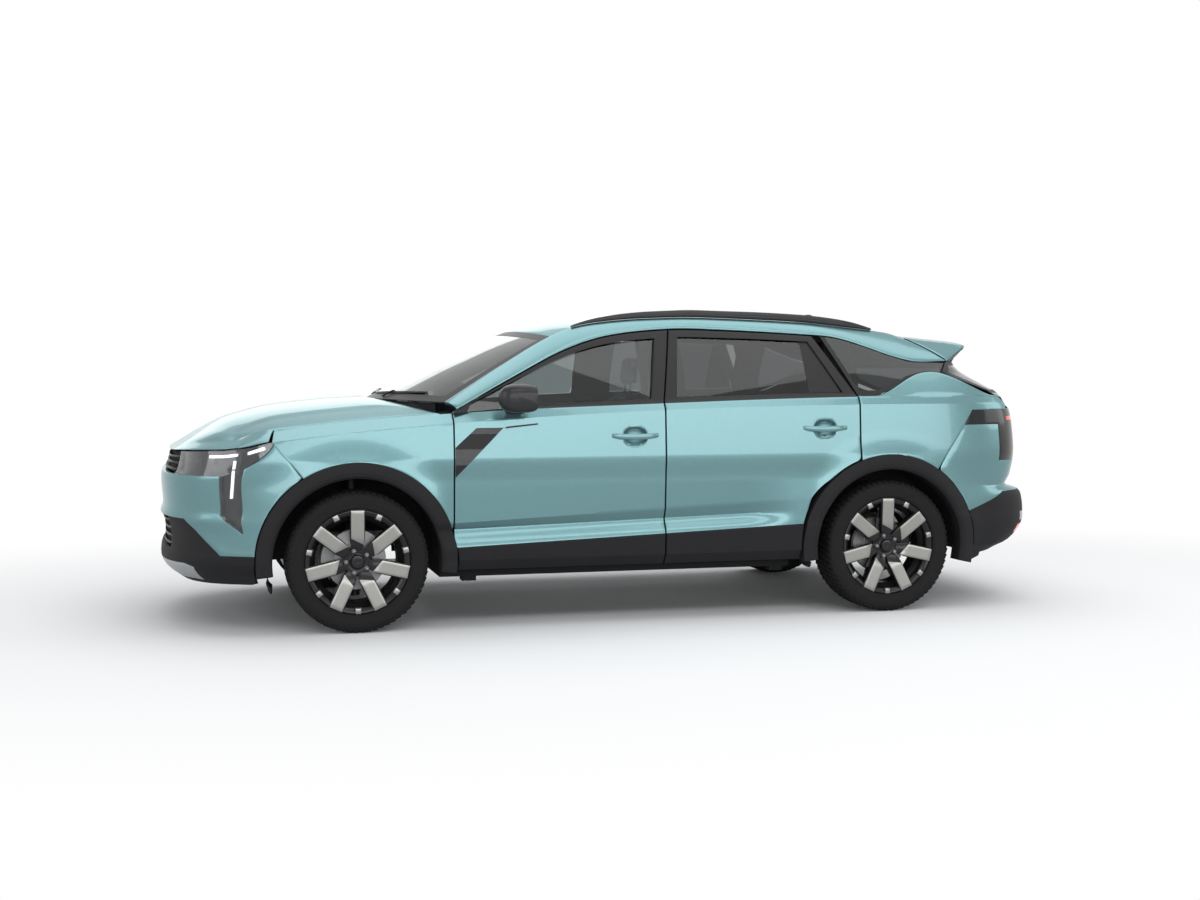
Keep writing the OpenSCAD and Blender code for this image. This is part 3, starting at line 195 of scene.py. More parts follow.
def grooveFade(x):
    return ease((x - xr - 480) / 320) * ease((xf - 250 - x) / 200)


def noseX(z):
    return noseEnd - curve(z, nosePts)


def tailX(z):
    return tailEnd + curve(z, tailPts)


def roundOff(t, p):
    return np.maximum(0, 1 - unit(t) ** p) ** (1 / p)


def sideIn(x, z):  # how far the skin lies inside the full half width
    fade = grooveFade(x)
    return steps(z, [(sillZ, 45), (sillZ + 50, 8), (cladZ(x), 0), (cladZ(x) + 8, 6),
                     (grooveZ(x), mix(6, 38, fade)), (faceZ(x), mix(6, 16, fade)), (690, 8), (815, 0),
                     (shoulderZ(x), 14), (beltZ(x), beltIn(x))], soft=(3, 6))


def bulge(x, z, ax, side):
    r = np.hypot(x - ax, z - wheelZ)
    return 16 * unit(1 - (r - flareR) / 130) ** 2 * ease(side * (x - ax + side * 450) / 130)


def cantZ(x):
    return curve(x, cantLow)


def glassIn(x, z):
    h = unit((z - beltZ(x)) / (roofH - 94 - beltZ(x)))
    lean = mix(beltIn(np.minimum(x, xf - 700)) + 8, 248, 0.86 * h + 0.14 * h * h)
    return lean + 55 * ease((xr + 330 - x) / 900) * h


def sideY(x, z):  # half width of the body side anywhere
    high = (halfW - glassIn(x, z)) * roundOff((xr - x) / (xr - tailX(1100)), 4)
    nose, tail = roundOff((x - xf) / (noseX(z) - xf), 3), roundOff((xr - x) / (xr - tailX(z)), 4)
    low = (halfW - sideIn(x, z)) * nose * tail + bulge(x, z, xf, 1) + bulge(x, z, xr, -1)
    return np.where(z > beltZ(x), high, low)


def cantAt(s, row):  # station s along the rail: 0 the lower edge, 1 the roof edge
    x = np.interp(s, np.arange(lastI + 1), cantX[:, row])
    if row == 0:
        z = cantZ(x)
        return np.stack([x, sideY(x, z), z], -1)
    return np.stack([x, halfW - curve(x, cantIn), curve(x, cantTop)], -1)


def onSide(x, z, out=0):  # points of the skin above given x and z
    x, z = np.broadcast_arrays(np.asarray(x, float), np.asarray(z, float))
    return np.stack([x, sideY(x, z) + out, z], -1)


# a bag of faces that becomes one object
class Bag:
    def __init__(self):
        self.verts, self.faces, self.mats, self.count = [], [], [], 0

    def add(self, verts, faces, mat=0):
        verts = np.asarray(verts, float).reshape(-1, 3)
        mats = mat if isinstance(mat, (list, np.ndarray)) else [mat] * len(faces)
        self.verts.append(verts)
        self.faces += [tuple(int(i) + self.count for i in f) for f in faces]
        self.mats += [int(m) for m in mats]
        self.count += len(verts)
        return self

    def shell(self, outer, inner, live=None, mat=0, inMat=0, edgeMat=None):
        r, c = outer.shape[:2]
        live = np.ones((r - 1, c - 1), bool) if live is None else live
        mat = np.broadcast_to(mat, (r - 1, c - 1))
        n = r * c
        faces, mats = [], []
        for i in range(r - 1):
            for j in range(c - 1):
                if not live[i, j]:
                    continue
                a, b, d, e = i * c + j, i * c + j + 1, (i + 1) * c + j, (i + 1) * c + j + 1
                m = mat[i, j]
                faces += [(a, b, e, d), (n + a, n + d, n + e, n + b)]
                mats += [m, inMat]
                rim = [(i > 0 and live[i - 1, j], (b, a, n + a, n + b)),
                       (i < r - 2 and live[i + 1, j], (d, e, n + e, n + d)),
                       (j > 0 and live[i, j - 1], (a, d, n + d, n + a)),
                       (j < c - 2 and live[i, j + 1], (e, b, n + b, n + e))]
                for joined, face in rim:
                    if not joined:
                        faces.append(face)
                        mats.append(m if edgeMat is None else edgeMat)
        return self.add(np.concatenate([outer.reshape(-1, 3), inner.reshape(-1, 3)]), faces, mats)

    def loft(self, rings, mat=0, caps=True, closed=False):
        rings = np.asarray(rings, float)
        m, k = rings.shape[:2]
        faces = []
        for i in range(m if closed else m - 1):
            for j in range(k):
                a, b = i * k + j, i * k + (j + 1) % k
                a2, b2 = ((i + 1) % m) * k + j, ((i + 1) % m) * k + (j + 1) % k
                faces.append((a, b, b2, a2))
        if caps and not closed:
            faces += [tuple(range(k - 1, -1, -1)), tuple((m - 1) * k + j for j in range(k))]
        return self.add(rings.reshape(-1, 3), faces, mat)

    def mirrored(self):  # the same again on the other side
        verts = np.concatenate(self.verts) * [1, -1, 1]
        return self.add(verts, [f[::-1] for f in list(self.faces)], list(self.mats))

    def flipped(self):
        other = Bag()
        return other.add(np.concatenate(self.verts) * [1, -1, 1], [f[::-1] for f in self.faces],
                         list(self.mats))

    def piece(self, name, mats, rides="body", replaces=(), slot=None, bevel=0, sharp=34):
        verts = (np.concatenate(self.verts) + [midX, 0, 0]) * mm
        mesh = bpy.data.meshes.new(name)
        mesh.from_pydata(verts.tolist(), [], self.faces)
        for m in mats:
            mesh.materials.append(m)
        mesh.polygons.foreach_set("material_index", np.array(self.mats, np.int32))
        bm = bmesh.new()
        bm.from_mesh(mesh)
        bmesh.ops.delete(bm, geom=[v for v in bm.verts if not v.link_faces], context="VERTS")
        bmesh.ops.remove_doubles(bm, verts=bm.verts, dist=1e-6)
        bmesh.ops.dissolve_degenerate(bm, edges=bm.edges, dist=1e-6)
        bm.to_mesh(mesh)
        bm.free()
        return finishMesh(mesh, name, rides, replaces, bevel, sharp)


def finishMesh(mesh, name, rides="body", replaces=(), bevel=0, sharp=34):
    obj = bpy.data.objects.new(name, mesh)
    bpy.context.scene.collection.objects.link(obj)
    if bevel:
        b = obj.modifiers.new("edge", "BEVEL")
        b.width, b.segments, b.limit_method, b.angle_limit = bevel * mm, 2, "ANGLE", radians(48)
        b.use_clamp_overlap = True
        bakeModifiers(obj)
    shade(obj.data, sharp)
    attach(obj, rides)
    if replaces:
        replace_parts(obj, *replaces)
    return obj


def bakeModifiers(obj):  # the evaluated shape becomes the plain mesh
    bpy.context.view_layer.update()
    done = bpy.data.meshes.new_from_object(obj.evaluated_get(bpy.context.evaluated_depsgraph_get()))
    done.name = obj.name
    obj.modifiers.clear()
    obj.data = done
    return obj


def shade(mesh, sharp):
    bm = bmesh.new()
    bm.from_mesh(mesh)
    for f in bm.faces:
        f.smooth = True
    for e in bm.edges:
        e.smooth = not (len(e.link_faces) == 2 and e.calc_face_angle(0) > radians(sharp))
    bm.to_mesh(mesh)
    bm.free()


# shader maths as expressions
class Sock:
    def __init__(self, tree, socket):
        self.tree, self.socket = tree, socket

    def maths(self, operation, a, b=None):
        values = {0: a} if b is None else {0: a, 1: b}
        return self.tree.node("ShaderNodeMath", {"operation": operation}, values).out(0)

    def __add__(self, o):
        return self.maths("ADD", self, o)

    def __radd__(self, o):
        return self.maths("ADD", o, self)

    def __sub__(self, o):
        return self.maths("SUBTRACT", self, o)

    def __rsub__(self, o):
        return self.maths("SUBTRACT", o, self)

    def __mul__(self, o):
        return self.maths("MULTIPLY", self, o)

    def __rmul__(self, o):
        return self.maths("MULTIPLY", o, self)

    def __gt__(self, o):
        return self.maths("GREATER_THAN", self, o)

    def wave(self):
        return self.maths("SINE", self)


class Made:
    def __init__(self, tree, node):
        self.tree, self.node = tree, node

    def out(self, key):
        return Sock(self.tree, self.node.outputs[key])


class Finish:
    def __init__(self, name, color, rough, metal=0.0, **fixed):
        self.mat = bpy.data.materials.new(name)
        self.mat.use_nodes = True
        self.nodes, self.links = self.mat.node_tree.nodes, self.mat.node_tree.links
        self.bsdf = self.nodes["Principled BSDF"]
        self.fixed("Base Color", (*color, 1)).fixed("Roughness", rough).fixed("Metallic", metal)
        for key, value in fixed.items():
            self.fixed(key.replace("_", " "), value)
        self.mat.diffuse_color = (*color, 1)

    def fixed(self, key, value):
        self.bsdf.inputs[key].default_value = value
        return self

    def node(self, kind, settings, values):
        n = self.nodes.new(kind)
        for key, value in settings.items():
            if key == "stops":
                ramp = n.color_ramp
                for k, (at, col) in enumerate(value):
                    e = ramp.elements[k] if k < len(ramp.elements) else ramp.elements.new(at)
                    e.position, e.color = at, (*col, 1)
            else:
                setattr(n, key, value)
        for key, value in values.items():
            if isinstance(value, Sock):
                self.links.new(value.socket, n.inputs[key])
            else:
                n.inputs[key].default_value = value
        return Made(self, n)

    def place(self, scale=(1, 1, 1)):  # object coordinates
        at = self.node("ShaderNodeTexCoord", {}, {}).out("Object")
        if scale == (1, 1, 1):
            return at
        return self.node("ShaderNodeMapping", {}, {"Vector": at, "Scale": scale}).out(0)

    def axis(self, key):
        return self.node("ShaderNodeSeparateXYZ", {}, {0: self.place()}).out(key)

    def noise(self, scale, detail=3, rough=0.5, stretch=(1, 1, 1)):
        values = {"Vector": self.place(stretch), "Scale": scale, "Detail": detail, "Roughness": rough}
        return self.node("ShaderNodeTexNoise", {}, values).out(0)

    def cells(self, scale, stretch=(1, 1, 1)):
        return self.node("ShaderNodeTexVoronoi", {}, {"Vector": self.place(stretch), "Scale": scale})

    def tint(self, fac, a, b):
        a, b = [(*c, 1) if isinstance(c, tuple) else c for c in (a, b)]
        return self.node("ShaderNodeMix", {"data_type": "RGBA"}, {0: fac, 6: a, 7: b}).out(2)

    def feed(self, key, sock):
        self.links.new(sock.socket, self.bsdf.inputs[key])
        return self

    def bump(self, height, strength, distance=0.001):
        values = {"Height": height, "Strength": strength, "Distance": distance}
        return self.feed("Normal", self.node("ShaderNodeBump", {}, values).out(0))


def scaled(color, k):
    return tuple(min(1.0, c * k) for c in color)


# finishes
paintTone = {"base": (0.105, 0.212, 0.226), "flake": (0.175, 0.32, 0.335), "deep": (0.094, 0.195, 0.208),
             "flakeScale": 2600}


def bodyPaint():
    f = Finish("bodyPaint", paintTone["base"], 0.3, 0.8, Coat_Weight=0.5, Coat_Roughness=0.03, Coat_IOR=1.5,
               Specular_Tint=(0.5, 0.68, 0.7, 1))
    flake = f.cells(paintTone["flakeScale"]).out("Color")
    spark = f.node("ShaderNodeSeparateColor", {}, {0: flake}).out(0)
    cloud = f.noise(3, 2)
    tone = f.tint(cloud, paintTone["deep"], paintTone["base"])
    f.feed("Base Color", f.tint((spark > 0.55) * 0.45, f.tint(0.6, tone, paintTone["base"]),
                                paintTone["flake"]))
    f.feed("Roughness", 0.24 + 0.14 * spark)
    return f.bump(f.noise(700, 2), 0.02, 0.0004).mat


def grainPlastic(name, color, rough, scale=1400, strength=0.22):
    f = Finish(name, color, rough, Specular_IOR_Level=0.18)
    grain = f.cells(scale).out("Distance")
    wear = f.noise(6, 4)
    f.feed("Base Color", f.tint(wear, scaled(color, 0.8), scaled(color, 1.35)))
    f.feed("Roughness", rough - 0.1 + 0.2 * wear)
    return f.bump(grain, strength, 0.0008).mat


def glossPlastic(name, color, rough=0.12, coat=0.15):
    f = Finish(name, color, rough, Coat_Weight=coat, Coat_Roughness=0.05, Specular_IOR_Level=0.2)
    haze = f.noise(18, 3)
    f.feed("Base Color", f.tint(haze, scaled(color, 0.85), scaled(color, 1.2)))
    f.feed("Roughness", rough + 0.06 * haze)
    return f.bump(f.noise(500, 2), 0.015, 0.0004).mat


def clearGlass(name, color, rough=0.01):
    f = Finish(name, color, rough, Transmission_Weight=1.0, IOR=1.45, Specular_IOR_Level=0.25)
    f.feed("Roughness", rough + 0.02 * f.noise(9, 2))
    return f.feed("Base Color", f.tint(f.noise(2, 2), scaled(color, 0.94), color)).mat


def metal(name, color, rough, brush=(1, 1, 1), scale=60, strength=0.08):
    f = Finish(name, color, rough, 1.0)
    streak = f.noise(scale, 5, 0.6, brush)
    f.feed("Base Color", f.tint(streak, scaled(color, 0.82), scaled(color, 1.12)))
    f.feed("Roughness", rough - 0.06 + 0.14 * streak)
    return f.bump(streak, strength, 0.0006).mat


def lampLight(name, color, power):
    f = Finish(name, color, 0.25, Emission_Strength=power)
    prism = (f.axis(0) * 900).wave() * 0.5 + 0.5
    f.feed("Emission Color", f.tint(prism, scaled(color, 0.8), color))
    return f.bump(prism, 0.15, 0.0008).mat


def redLens():
    # the lens glows red: on the tail lamps this is lamp light, on the bumper reflectors it is a painted glow
    f = Finish("redLens", (0.5, 0.006, 0.006), 0.1, Coat_Weight=0.3, Coat_Roughness=0.03,
               Emission_Strength=0.5)
    ribs = (f.axis(2) * 1500).wave() * 0.5 + 0.5
    f.feed("Base Color", f.tint(ribs, (0.36, 0.004, 0.004), (0.6, 0.012, 0.01)))
    f.feed("Emission Color", f.tint(ribs, (0.7, 0.02, 0.01), (1.0, 0.05, 0.02)))
    return f.bump(ribs, 0.2, 0.0008).mat


def tyreRubber():
    f = Finish("tyreRubber", (0.011, 0.011, 0.0115), 0.78, Specular_IOR_Level=0.15)
    scuff = f.noise(26, 5, 0.6)
    f.feed("Base Color", f.tint(scuff, (0.007, 0.007, 0.0075), (0.016, 0.0155, 0.015)))
    f.feed("Roughness", 0.66 + 0.2 * scuff)
    return f.bump(f.noise(420, 3) + scuff, 0.18, 0.0008).mat


def seatCloth(name, color):
    f = Finish(name, color, 0.9, Sheen_Weight=0.35, Sheen_Roughness=0.5)
    warp = (f.axis(0) * 1900).wave() * (f.axis(1) * 1900).wave()
    nap = f.noise(160, 4)
    f.feed("Base Color", f.tint(nap, scaled(color, 0.78), scaled(color, 1.16)))
    f.feed("Roughness", 0.8 + 0.16 * nap)
    return f.bump(warp + nap, 0.35, 0.0009).mat


paint = bodyPaint()
cladding = grainPlastic("claddingPlastic", (0.011, 0.011, 0.012), 0.66)
linerPlastic = grainPlastic("linerPlastic", (0.012, 0.012, 0.013), 0.8, 700, 0.3)
doorCard = grainPlastic("doorCardPlastic", (0.05, 0.053, 0.058), 0.6, 900, 0.3)
dashSkin = grainPlastic("dashSkin", (0.026, 0.027, 0.03), 0.6, 1100, 0.35)
glossBlack = glossPlastic("glossBlack", (0.012, 0.0125, 0.014))
satinBlack = glossPlastic("satinBlack", (0.018, 0.018, 0.02), 0.3)
frameBlack = glossPlastic("frameBlack", (0.014, 0.014, 0.015), 0.42, 0.0)
ventGrey = glossPlastic("ventGrey", (0.07, 0.07, 0.071), 0.4, 0.0)
skidSilver = metal("skidSilver", (0.42, 0.43, 0.45), 0.42, (1, 6, 6), 40, 0.06)
bareSteel = metal("bareSteel", (0.28, 0.29, 0.3), 0.46, (1, 1, 1), 30, 0.12)
pipeSteel = metal("pipeSteel", (0.5, 0.49, 0.47), 0.32, (1, 9, 9), 40, 0.1)
sideGlass = clearGlass("sideGlass", (0.36, 0.4, 0.4))
privacyGlass = clearGlass("privacyGlass", (0.12, 0.135, 0.14))
lampLens = clearGlass("lampLens", (0.93, 0.95, 0.97))
whiteLight = lampLight("whiteLight", (0.93, 0.96, 1.0), 1.1)
redGlowLens = redLens()
mirrorGlass = Finish("mirrorGlass", (0.85, 0.87, 0.88), 0.02, 1.0)
mirrorGlass = mirrorGlass.feed("Roughness", 0.01 + 0.03 * mirrorGlass.noise(30, 2)).mat
tyreMat = tyreRubber()
rimBlack = glossPlastic("rimBlack", (0.011, 0.011, 0.012), 0.2)
plateSilver = metal("plateSilver", (0.27, 0.268, 0.255), 0.3, (1, 9, 9), 90, 0.04)
discSteel = metal("discSteel", (0.26, 0.26, 0.265), 0.42, (6, 1, 6), 120, 0.1)
castGrey = metal("castGrey", (0.3, 0.305, 0.31), 0.55, (1, 1, 1), 140, 0.3)
darkCast = metal("darkCast", (0.05, 0.05, 0.052), 0.6, (1, 1, 1), 140, 0.3)
underCoat = grainPlastic("underCoat", (0.013, 0.0135, 0.014), 0.85, 500, 0.35)
cloth = seatCloth("seatCloth", (0.36, 0.44, 0.49))
clothDark = seatCloth("seatClothDark", (0.12, 0.135, 0.15))
print("finishes made")


# doors
door = {"frame": (0.06, 0.94), "sash": (0.07, 0.9), "paneU": (0.062, 0.932), "paneV": (0.075, 0.895),
        "inner": 125, "glassIn": 10, "glassT": 5, "frontTop": (xf - 482, splitX - 80 + gap / 2),
        "rearTop": (splitX - 80 - gap / 2, xr + 346), "handles": {False: (2, 911), True: (-994, 939)},
        "cup": (60, 47, 16), "panelX": -930}


def doorFrontX(z):
    d, h = flareR + gap, z - wheelZ
    return np.minimum(xf - body["doorLine"] - gap,
                      np.where(abs(h) < d, xf - np.sqrt(np.maximum(d * d - h * h, 0)), xf))


def doorRearX(z):
    d, h = flareR + gap, z - wheelZ
    return np.maximum(xr + 168, np.where(abs(h) < d, xr + np.sqrt(np.maximum(d * d - h * h, 0)), xr))


def doorEdges(z, rear):
    return (splitX - gap / 2, doorRearX(z)) if rear else (doorFrontX(z), splitX + gap / 2)


def rowZ(x, k):  # height of row k, which may lie between two body lines
    rows = [sillZ + 0 * x, sillZ + 50 + 0 * x, cladZ(x), cladZ(x) + 8, grooveZ(x), faceZ(x), 690 + 0 * x,
            815 + 0 * x, shoulderZ(x), beltZ(x)]
    i = min(int(k), 8)
    return mix(rows[i], rows[i + 1], k - i)


def doorLow(us, k, rear):
    g = rowZ(np.array(0.0), k)
    a, b = doorEdges(g, rear)
    x = mix(a, b, us)
    return x, rowZ(x, k)


def doorUp(us, v, rear):
    a, b = doorEdges(np.array(1050.0), rear)
    top = door["rearTop"] if rear else door["frontTop"]
    xb, xt = mix(a, b, us), mix(top[0], top[1], us)
    zt = np.maximum(cantZ(xt) - gap, beltZ(xb) + 9)
    return mix(xb, xt, v), mix(beltZ(xb), zt, v)


def doorDent(x, z, rear):  # hollow behind the pull handle
    cx, cz = door["handles"][rear]
    a, b, deep = door["cup"]
    r = abs((x - cx) / a) ** 2.6 + abs((z - cz) / b) ** 2.6
    return -deep * unit(1.15 - r) ** 0.5 * ease((1.1 - r) / 0.5)


def doorBag(rear):
    us = fine([0, *door["frame"], 1], [4, 128, 4])
    ks = fine(list(range(10)), [4, 6, 3, 6, 5, 12, 10, 30, 4])
    vs = fine([0, *door["sash"], 1], [2, 20, 3])[1:]
    rows = [doorLow(us, k, rear) for k in ks] + [doorUp(us, v, rear) for v in vs]
    x, z = np.array([r[0] for r in rows]), np.array([r[1] for r in rows])
    outer = onSide(x, z, doorDent(x, z, rear))
    yIn = np.where(z <= beltZ(x) + 4, halfW - door["inner"],
                   np.minimum(halfW - door["inner"], sideY(x, z) - 40))
    inner = np.stack([x + 30 * unit((us - 0.8) / 0.2) ** 2, yIn, z], -1)
    nLow, r, c = len(ks), len(rows), len(us)
    live = np.ones((r - 1, c - 1), bool)
    live[nLow + 1:nLow + 21, 4:c - 5] = False  # the window
    mat = np.zeros((r - 1, c - 1), int)
    mat[:np.searchsorted(ks, 2.99)] = 1
    mat[nLow - 1:] = 2
    return Bag().shell(outer, inner, live, mat, 3)


def doorGlassBag(rear):
    us, vs = fine(door["paneU"], [30]), fine(door["paneV"], [14])
    rows = [doorUp(us, v, rear) for v in vs]
    x, z = np.array([r[0] for r in rows]), np.array([r[1] for r in rows])
    bag = Bag().shell(onSide(x, z, -door["glassIn"]), onSide(x, z, -door["glassIn"] - door["glassT"]))
    if rear:  # fixed black panel at the rear of the rear door
        px = door["panelX"]
        foot, head = [(px, float(np.interp(-px, -x[k], z[k]))) for k in (0, -1)]
        bag.shell(*plateOnSide([foot, (x[0, -1], z[0, -1]), (x[-1, -1], z[-1, -1]), head], 12,
                               1 - door["glassIn"], 8), mat=1, inMat=1)
    return bag


def handleBag(rear):
    cx, cz = door["handles"][rear]
    rings = []
    for t in np.linspace(-1, 1, 29):
        x = cx - 118 * t
        lift = 21 * (1 - abs(t) ** 5) + 1.5
        h, d = 15 - 5 * t * t, 6.5
        y = sideY(np.array(x), np.array(cz + 0.0)) + lift - d
        mid = cz + 6 * t * t
        rings.append([[x, y + d * signedPower(cos(a), 0.7), mid + h * signedPower(sin(a), 0.8)]
                      for a in np.linspace(0, 2 * pi, 16, endpoint=False)])
    return Bag().loft(np.array(rings)[:, ::-1])


def plateOnSide(poly, n, out, thick):  # a thin plate laid on the skin, its outline four corners in order
    a, b, c, d = [np.array(p, float) for p in poly]
    s, t = np.meshgrid(np.linspace(0, 1, n), np.linspace(0, 1, n), indexing="ij")
    xz = (a * ((1 - s) * (1 - t))[..., None] + b * ((1 - s) * t)[..., None] + c * (s * t)[..., None]
          + d * (s * (1 - t))[..., None])
    return onSide(xz[..., 0], xz[..., 1], out), onSide(xz[..., 0], xz[..., 1], out - thick)


for side, flip in sides:
    for rear in (False, True):
        place = "rear" if rear else "front"
        rides = "door_%s_%s" % (place, side)
        label = place.capitalize() + side.capitalize()
        for bag, name, mats, node, slot, bevel in (
                (doorBag(rear), "door" + label, [paint, cladding, frameBlack, doorCard], rides, "body_paint",
                 2.2),
                (doorGlassBag(rear), "doorGlass" + label, [privacyGlass if rear else sideGlass, frameBlack],
                 "glass_%s_%s" % (place, side), "tinted_glass", 0),
                (handleBag(rear), "pullHandle" + label, [paint], None, "body_paint", 0)):
            bag = bag.flipped() if flip else bag
            bag.piece(name, mats, rides, [node] if node else [], slot, bevel, 24)
print("doors made")

# black wedge behind the front arch and the thin line that runs back from it
vent = {"wedge": [(889, 868), (889, 725), (655, 961), (785, 961)],
        "line": [(650, 957), (640, 966), (487, 981), (487, 974)]}
for side, flip in sides:
    bag = Bag()
    o, i = plateOnSide([vent["wedge"][k] for k in (1, 2, 3, 0)], 40, 2.5, 4)
    z = (o[:-1, :-1, 2] + o[1:, 1:, 2]) / 2
    bag.shell(o, i, mat=(((z > 785) & (z < 860)) | (z > 932)).astype(int))
    o, i = plateOnSide([vent["line"][k] for k in (0, 3, 2, 1)], 12, 3, 4.5)
    bag.shell(o, i)
    (bag.flipped() if flip else bag).piece("ventTrim" + side.capitalize(), [frameBlack, ventGrey],
                                           "door_front_" + side, slot="black_plastic", bevel=0.8)

# fenders
splitTop = np.array([xf + 390.0, 905.0])
splitLow = np.array([xf + 250.0, wheelZ + sqrt(flareR ** 2 - 250 ** 2)])


def fenderBag():
    xd = xf - body["doorLine"]
    tip = sqrt(flareR ** 2 - body["doorLine"] ** 2) + 14
    tops = [(x, float(beltZ(np.array(x)))) for x in np.linspace(xf + 376, xd, 7)]
    path = np.array([tuple(mix(splitLow, splitTop, 0.985))] + tops
                    + [(xd, z) for z in np.linspace(960, wheelZ + tip, 6)], float)
    s = even(list(range(len(path))), 8)
    f = s / (len(path) - 1)
    a = mix(atan2(splitLow[1] - wheelZ, 250), pi - asin(tip / flareR), f)
    innerXz = np.stack([xf + (flareR + 1) * np.cos(a), wheelZ + (flareR + 1) * np.sin(a)], -1)
    outerXz = np.stack([np.interp(s, range(len(path)), path[:, k]) for k in (0, 1)], -1)
    v = fine([0, 0.25, 0.6, 0.86, 1], [8, 14, 24, 18])[:, None, None]
    g = mix(innerXz[None], outerXz[None], v)
    outer = onSide(g[..., 0], g[..., 1])
    down = outer[-1:, :, 2] - outer[..., 2]  # thin beside the bonnet's edge, so that it clears
    thick = np.where(s <= 8.2, np.interp(down, [0, 40, 66], [2.2, 2.2, body["skin"]]), body["skin"])
    return Bag().shell(outer, outer - thick[..., None] * [0, 1, 0], inMat=1)


fenderBag().mirrored().piece("frontFenders", [paint, linerPlastic], replaces=["front_fenders"],
                             slot="body_paint", bevel=2, sharp=24)

# tailgate rows: height, middle x, half width, wrap of the ends, inner drop, fin drop
gateT = 36
gateRows = np.array([[z, float(tailX(np.array(float(z)))), halfW - 275, 62, 0, 0]
                     for z in (640, 720, 800, 940, 1034)]
                    + [[1048, float(tailX(np.array(1048.0))), halfW - 193, 118, 0, 0],
                       [1090, float(tailX(np.array(1090.0))), halfW - 190, 125, 0, 0],
                       [1114, xr - 836, halfW - 150, 196, 6, 0], [1130, xr - 816, halfW - 150, 205, 10, 0],
                       [1190, xr - 725, halfW - 178, 270, 18, 0], [1222, xr - 675, halfW - 196, 300, 20, 0],
                       [1262, xr - 616, halfW - 236, 205, 22, 0], [1276, xr - 600, halfW - 244, 180, 22, 0],
                       [roofH - 186, xr - 615, halfW - 305, 55, 40, 6],
                       [roofH - 174, xr - 620, halfW - 308, 55, 30, 24],
                       [roofH - 153, xr - 400, halfW - 318, 10, 30, 52],
                       [roofH - 138, xr - 213, halfW - 322, 0, 26, 8]], float)


def gateAt(rows, vs):
    k = np.clip(rows, 0, len(gateRows) - 1)
    r = np.stack([np.interp(k, range(len(gateRows)), gateRows[:, c]) for c in range(6)], -1)[:, None, :]
    v = np.asarray(vs)[None]
    q = abs(v) ** 4
    top = unit((r[..., 0] - (roofH - 240)) / 45) * (np.asarray(k)[:, None] > 12)
    outer = np.stack([r[..., 1] + r[..., 3] * q, v * r[..., 2], r[..., 0] + 38 * (1 - v * v) * top], -1)
    shift = np.where(r[..., 0] > roofH - 160, 0, 50) * top
    inner = outer + np.stack([mix(gateT * (1 - q), shift + 0 * q, top), mix(-gateT * v * abs(v), 0, top),
                              -r[..., 4] - np.where(abs(v) > 0.985, r[..., 5], 0) * (top > 0)], -1)
    return outer, inner


gateV = bothSides([1, 0.94, 0.8, 0.5, 0], [4, 8, 12, 16])
gateK = fine(list(range(17)), [3, 3, 6, 4, 1, 3, 2, 2, 6, 4, 4, 1, 5, 2, 8, 6])


def tailgateBag():
    outer, inner = gateAt(gateK, gateV)
    live = np.ones((len(gateK) - 1, len(gateV) - 1), bool)
    mids = (gateK[1:] + gateK[:-1]) / 2
    glass = (mids > 8) & (mids < 11)
    live[np.ix_(glass, np.arange(4, len(gateV) - 5))] = False
    mat = np.zeros(live.shape, int)
    mat[(mids > 7) & (mids < 13)] = 1
    return Bag().shell(outer, inner, live, mat, 2)


tailgateBag().piece("tailgateSkin", [paint, frameBlack, doorCard], "tailgate", ["tailgate"], "body_paint", 2)
go, gi = gateAt(np.linspace(8.02, 10.98, 14), np.linspace(0.9372, -0.9372, 60))
Bag().shell(mix(go, gi, 0.1), mix(go, gi, 0.25)).piece("tailgateGlass", [privacyGlass], "tailgate",
                                                       ["tailgate_glass"], "tinted_glass")

# quarter panels
pillarPts = [(xr - 740, 1101), (xr - 617, 1104), (xr - 345, 1216), (xr - 200, 1214), (xr + 35, 1108),
             (xr + 190, 1104)]
quarterX0 = xr + 160
rearLamp = {"foot": 725, "bend": 958, "head": 1029, "top": 1030}


def lampEdge(z):
    return np.interp(z, [rearLamp["foot"], rearLamp["bend"], rearLamp["head"]],
                     [xr - 262, xr - 425, xr - 470])


def quarterX1(z):
    high = gateRows[gateRows[:, 0] > 900]
    return np.interp(z, high[:, 0], high[:, 1] + high[:, 3]) + gap + 8


def pillarTop(x):
    return np.maximum(beltZ(x) + 3, curve(x, pillarPts))


def quarterBag():
    cu = np.concatenate([np.linspace(0, 1, 61), np.ones(30)])
    cw = np.concatenate([np.zeros(61), np.linspace(0, 1, 31)[1:]])
    xs, zs = [], []
    xa = mix(quarterX0, lampEdge(rearLamp["foot"]), cu)
    za = wheelZ + np.sqrt((flareR + 2) ** 2 - (xa - xr) ** 2)
    vs = np.linspace(0, 1, 22)
    for v in vs:
        xs.append(mix(mix(quarterX0, lampEdge(mix(rearLamp["foot"], rearLamp["top"], v)), cu),
                      quarterX1(1050), cw))
        zs.append(mix(za, rearLamp["top"], v))
    ends = [(1060, shoulderZ), (1100, beltZ), (1104, pillarTop)]
    for (zEnd, line) in ends:
        lastX, lastZ = xs[-1], zs[-1]
        x = mix(mix(quarterX0, lampEdge(rearLamp["head"]), cu), quarterX1(zEnd), cw)
        n = 10 if line is pillarTop else 4
        for t in np.linspace(0, 1, n + 1)[1:]:
            xs.append(mix(lastX, x, t))
            zs.append(mix(lastZ, line(x), t))
    x, z = np.array(xs), np.array(zs)
    live = np.ones((len(xs) - 1, len(cu) - 1), bool)
    live[:21, 60:] = False
    outer = onSide(x, z)
    return Bag().shell(outer, outer - [0, body["skin"], 0], live, inMat=1)


quarterBag().mirrored().piece("quarterPanels", [paint, linerPlastic], replaces=["quarter_panels"],
                              slot="body_paint", bevel=2, sharp=24)

# black arch flares
flare = {"rows": [0, 14, 45, 75], "proud": [-2, 12, 11, 5], "deep": 96}


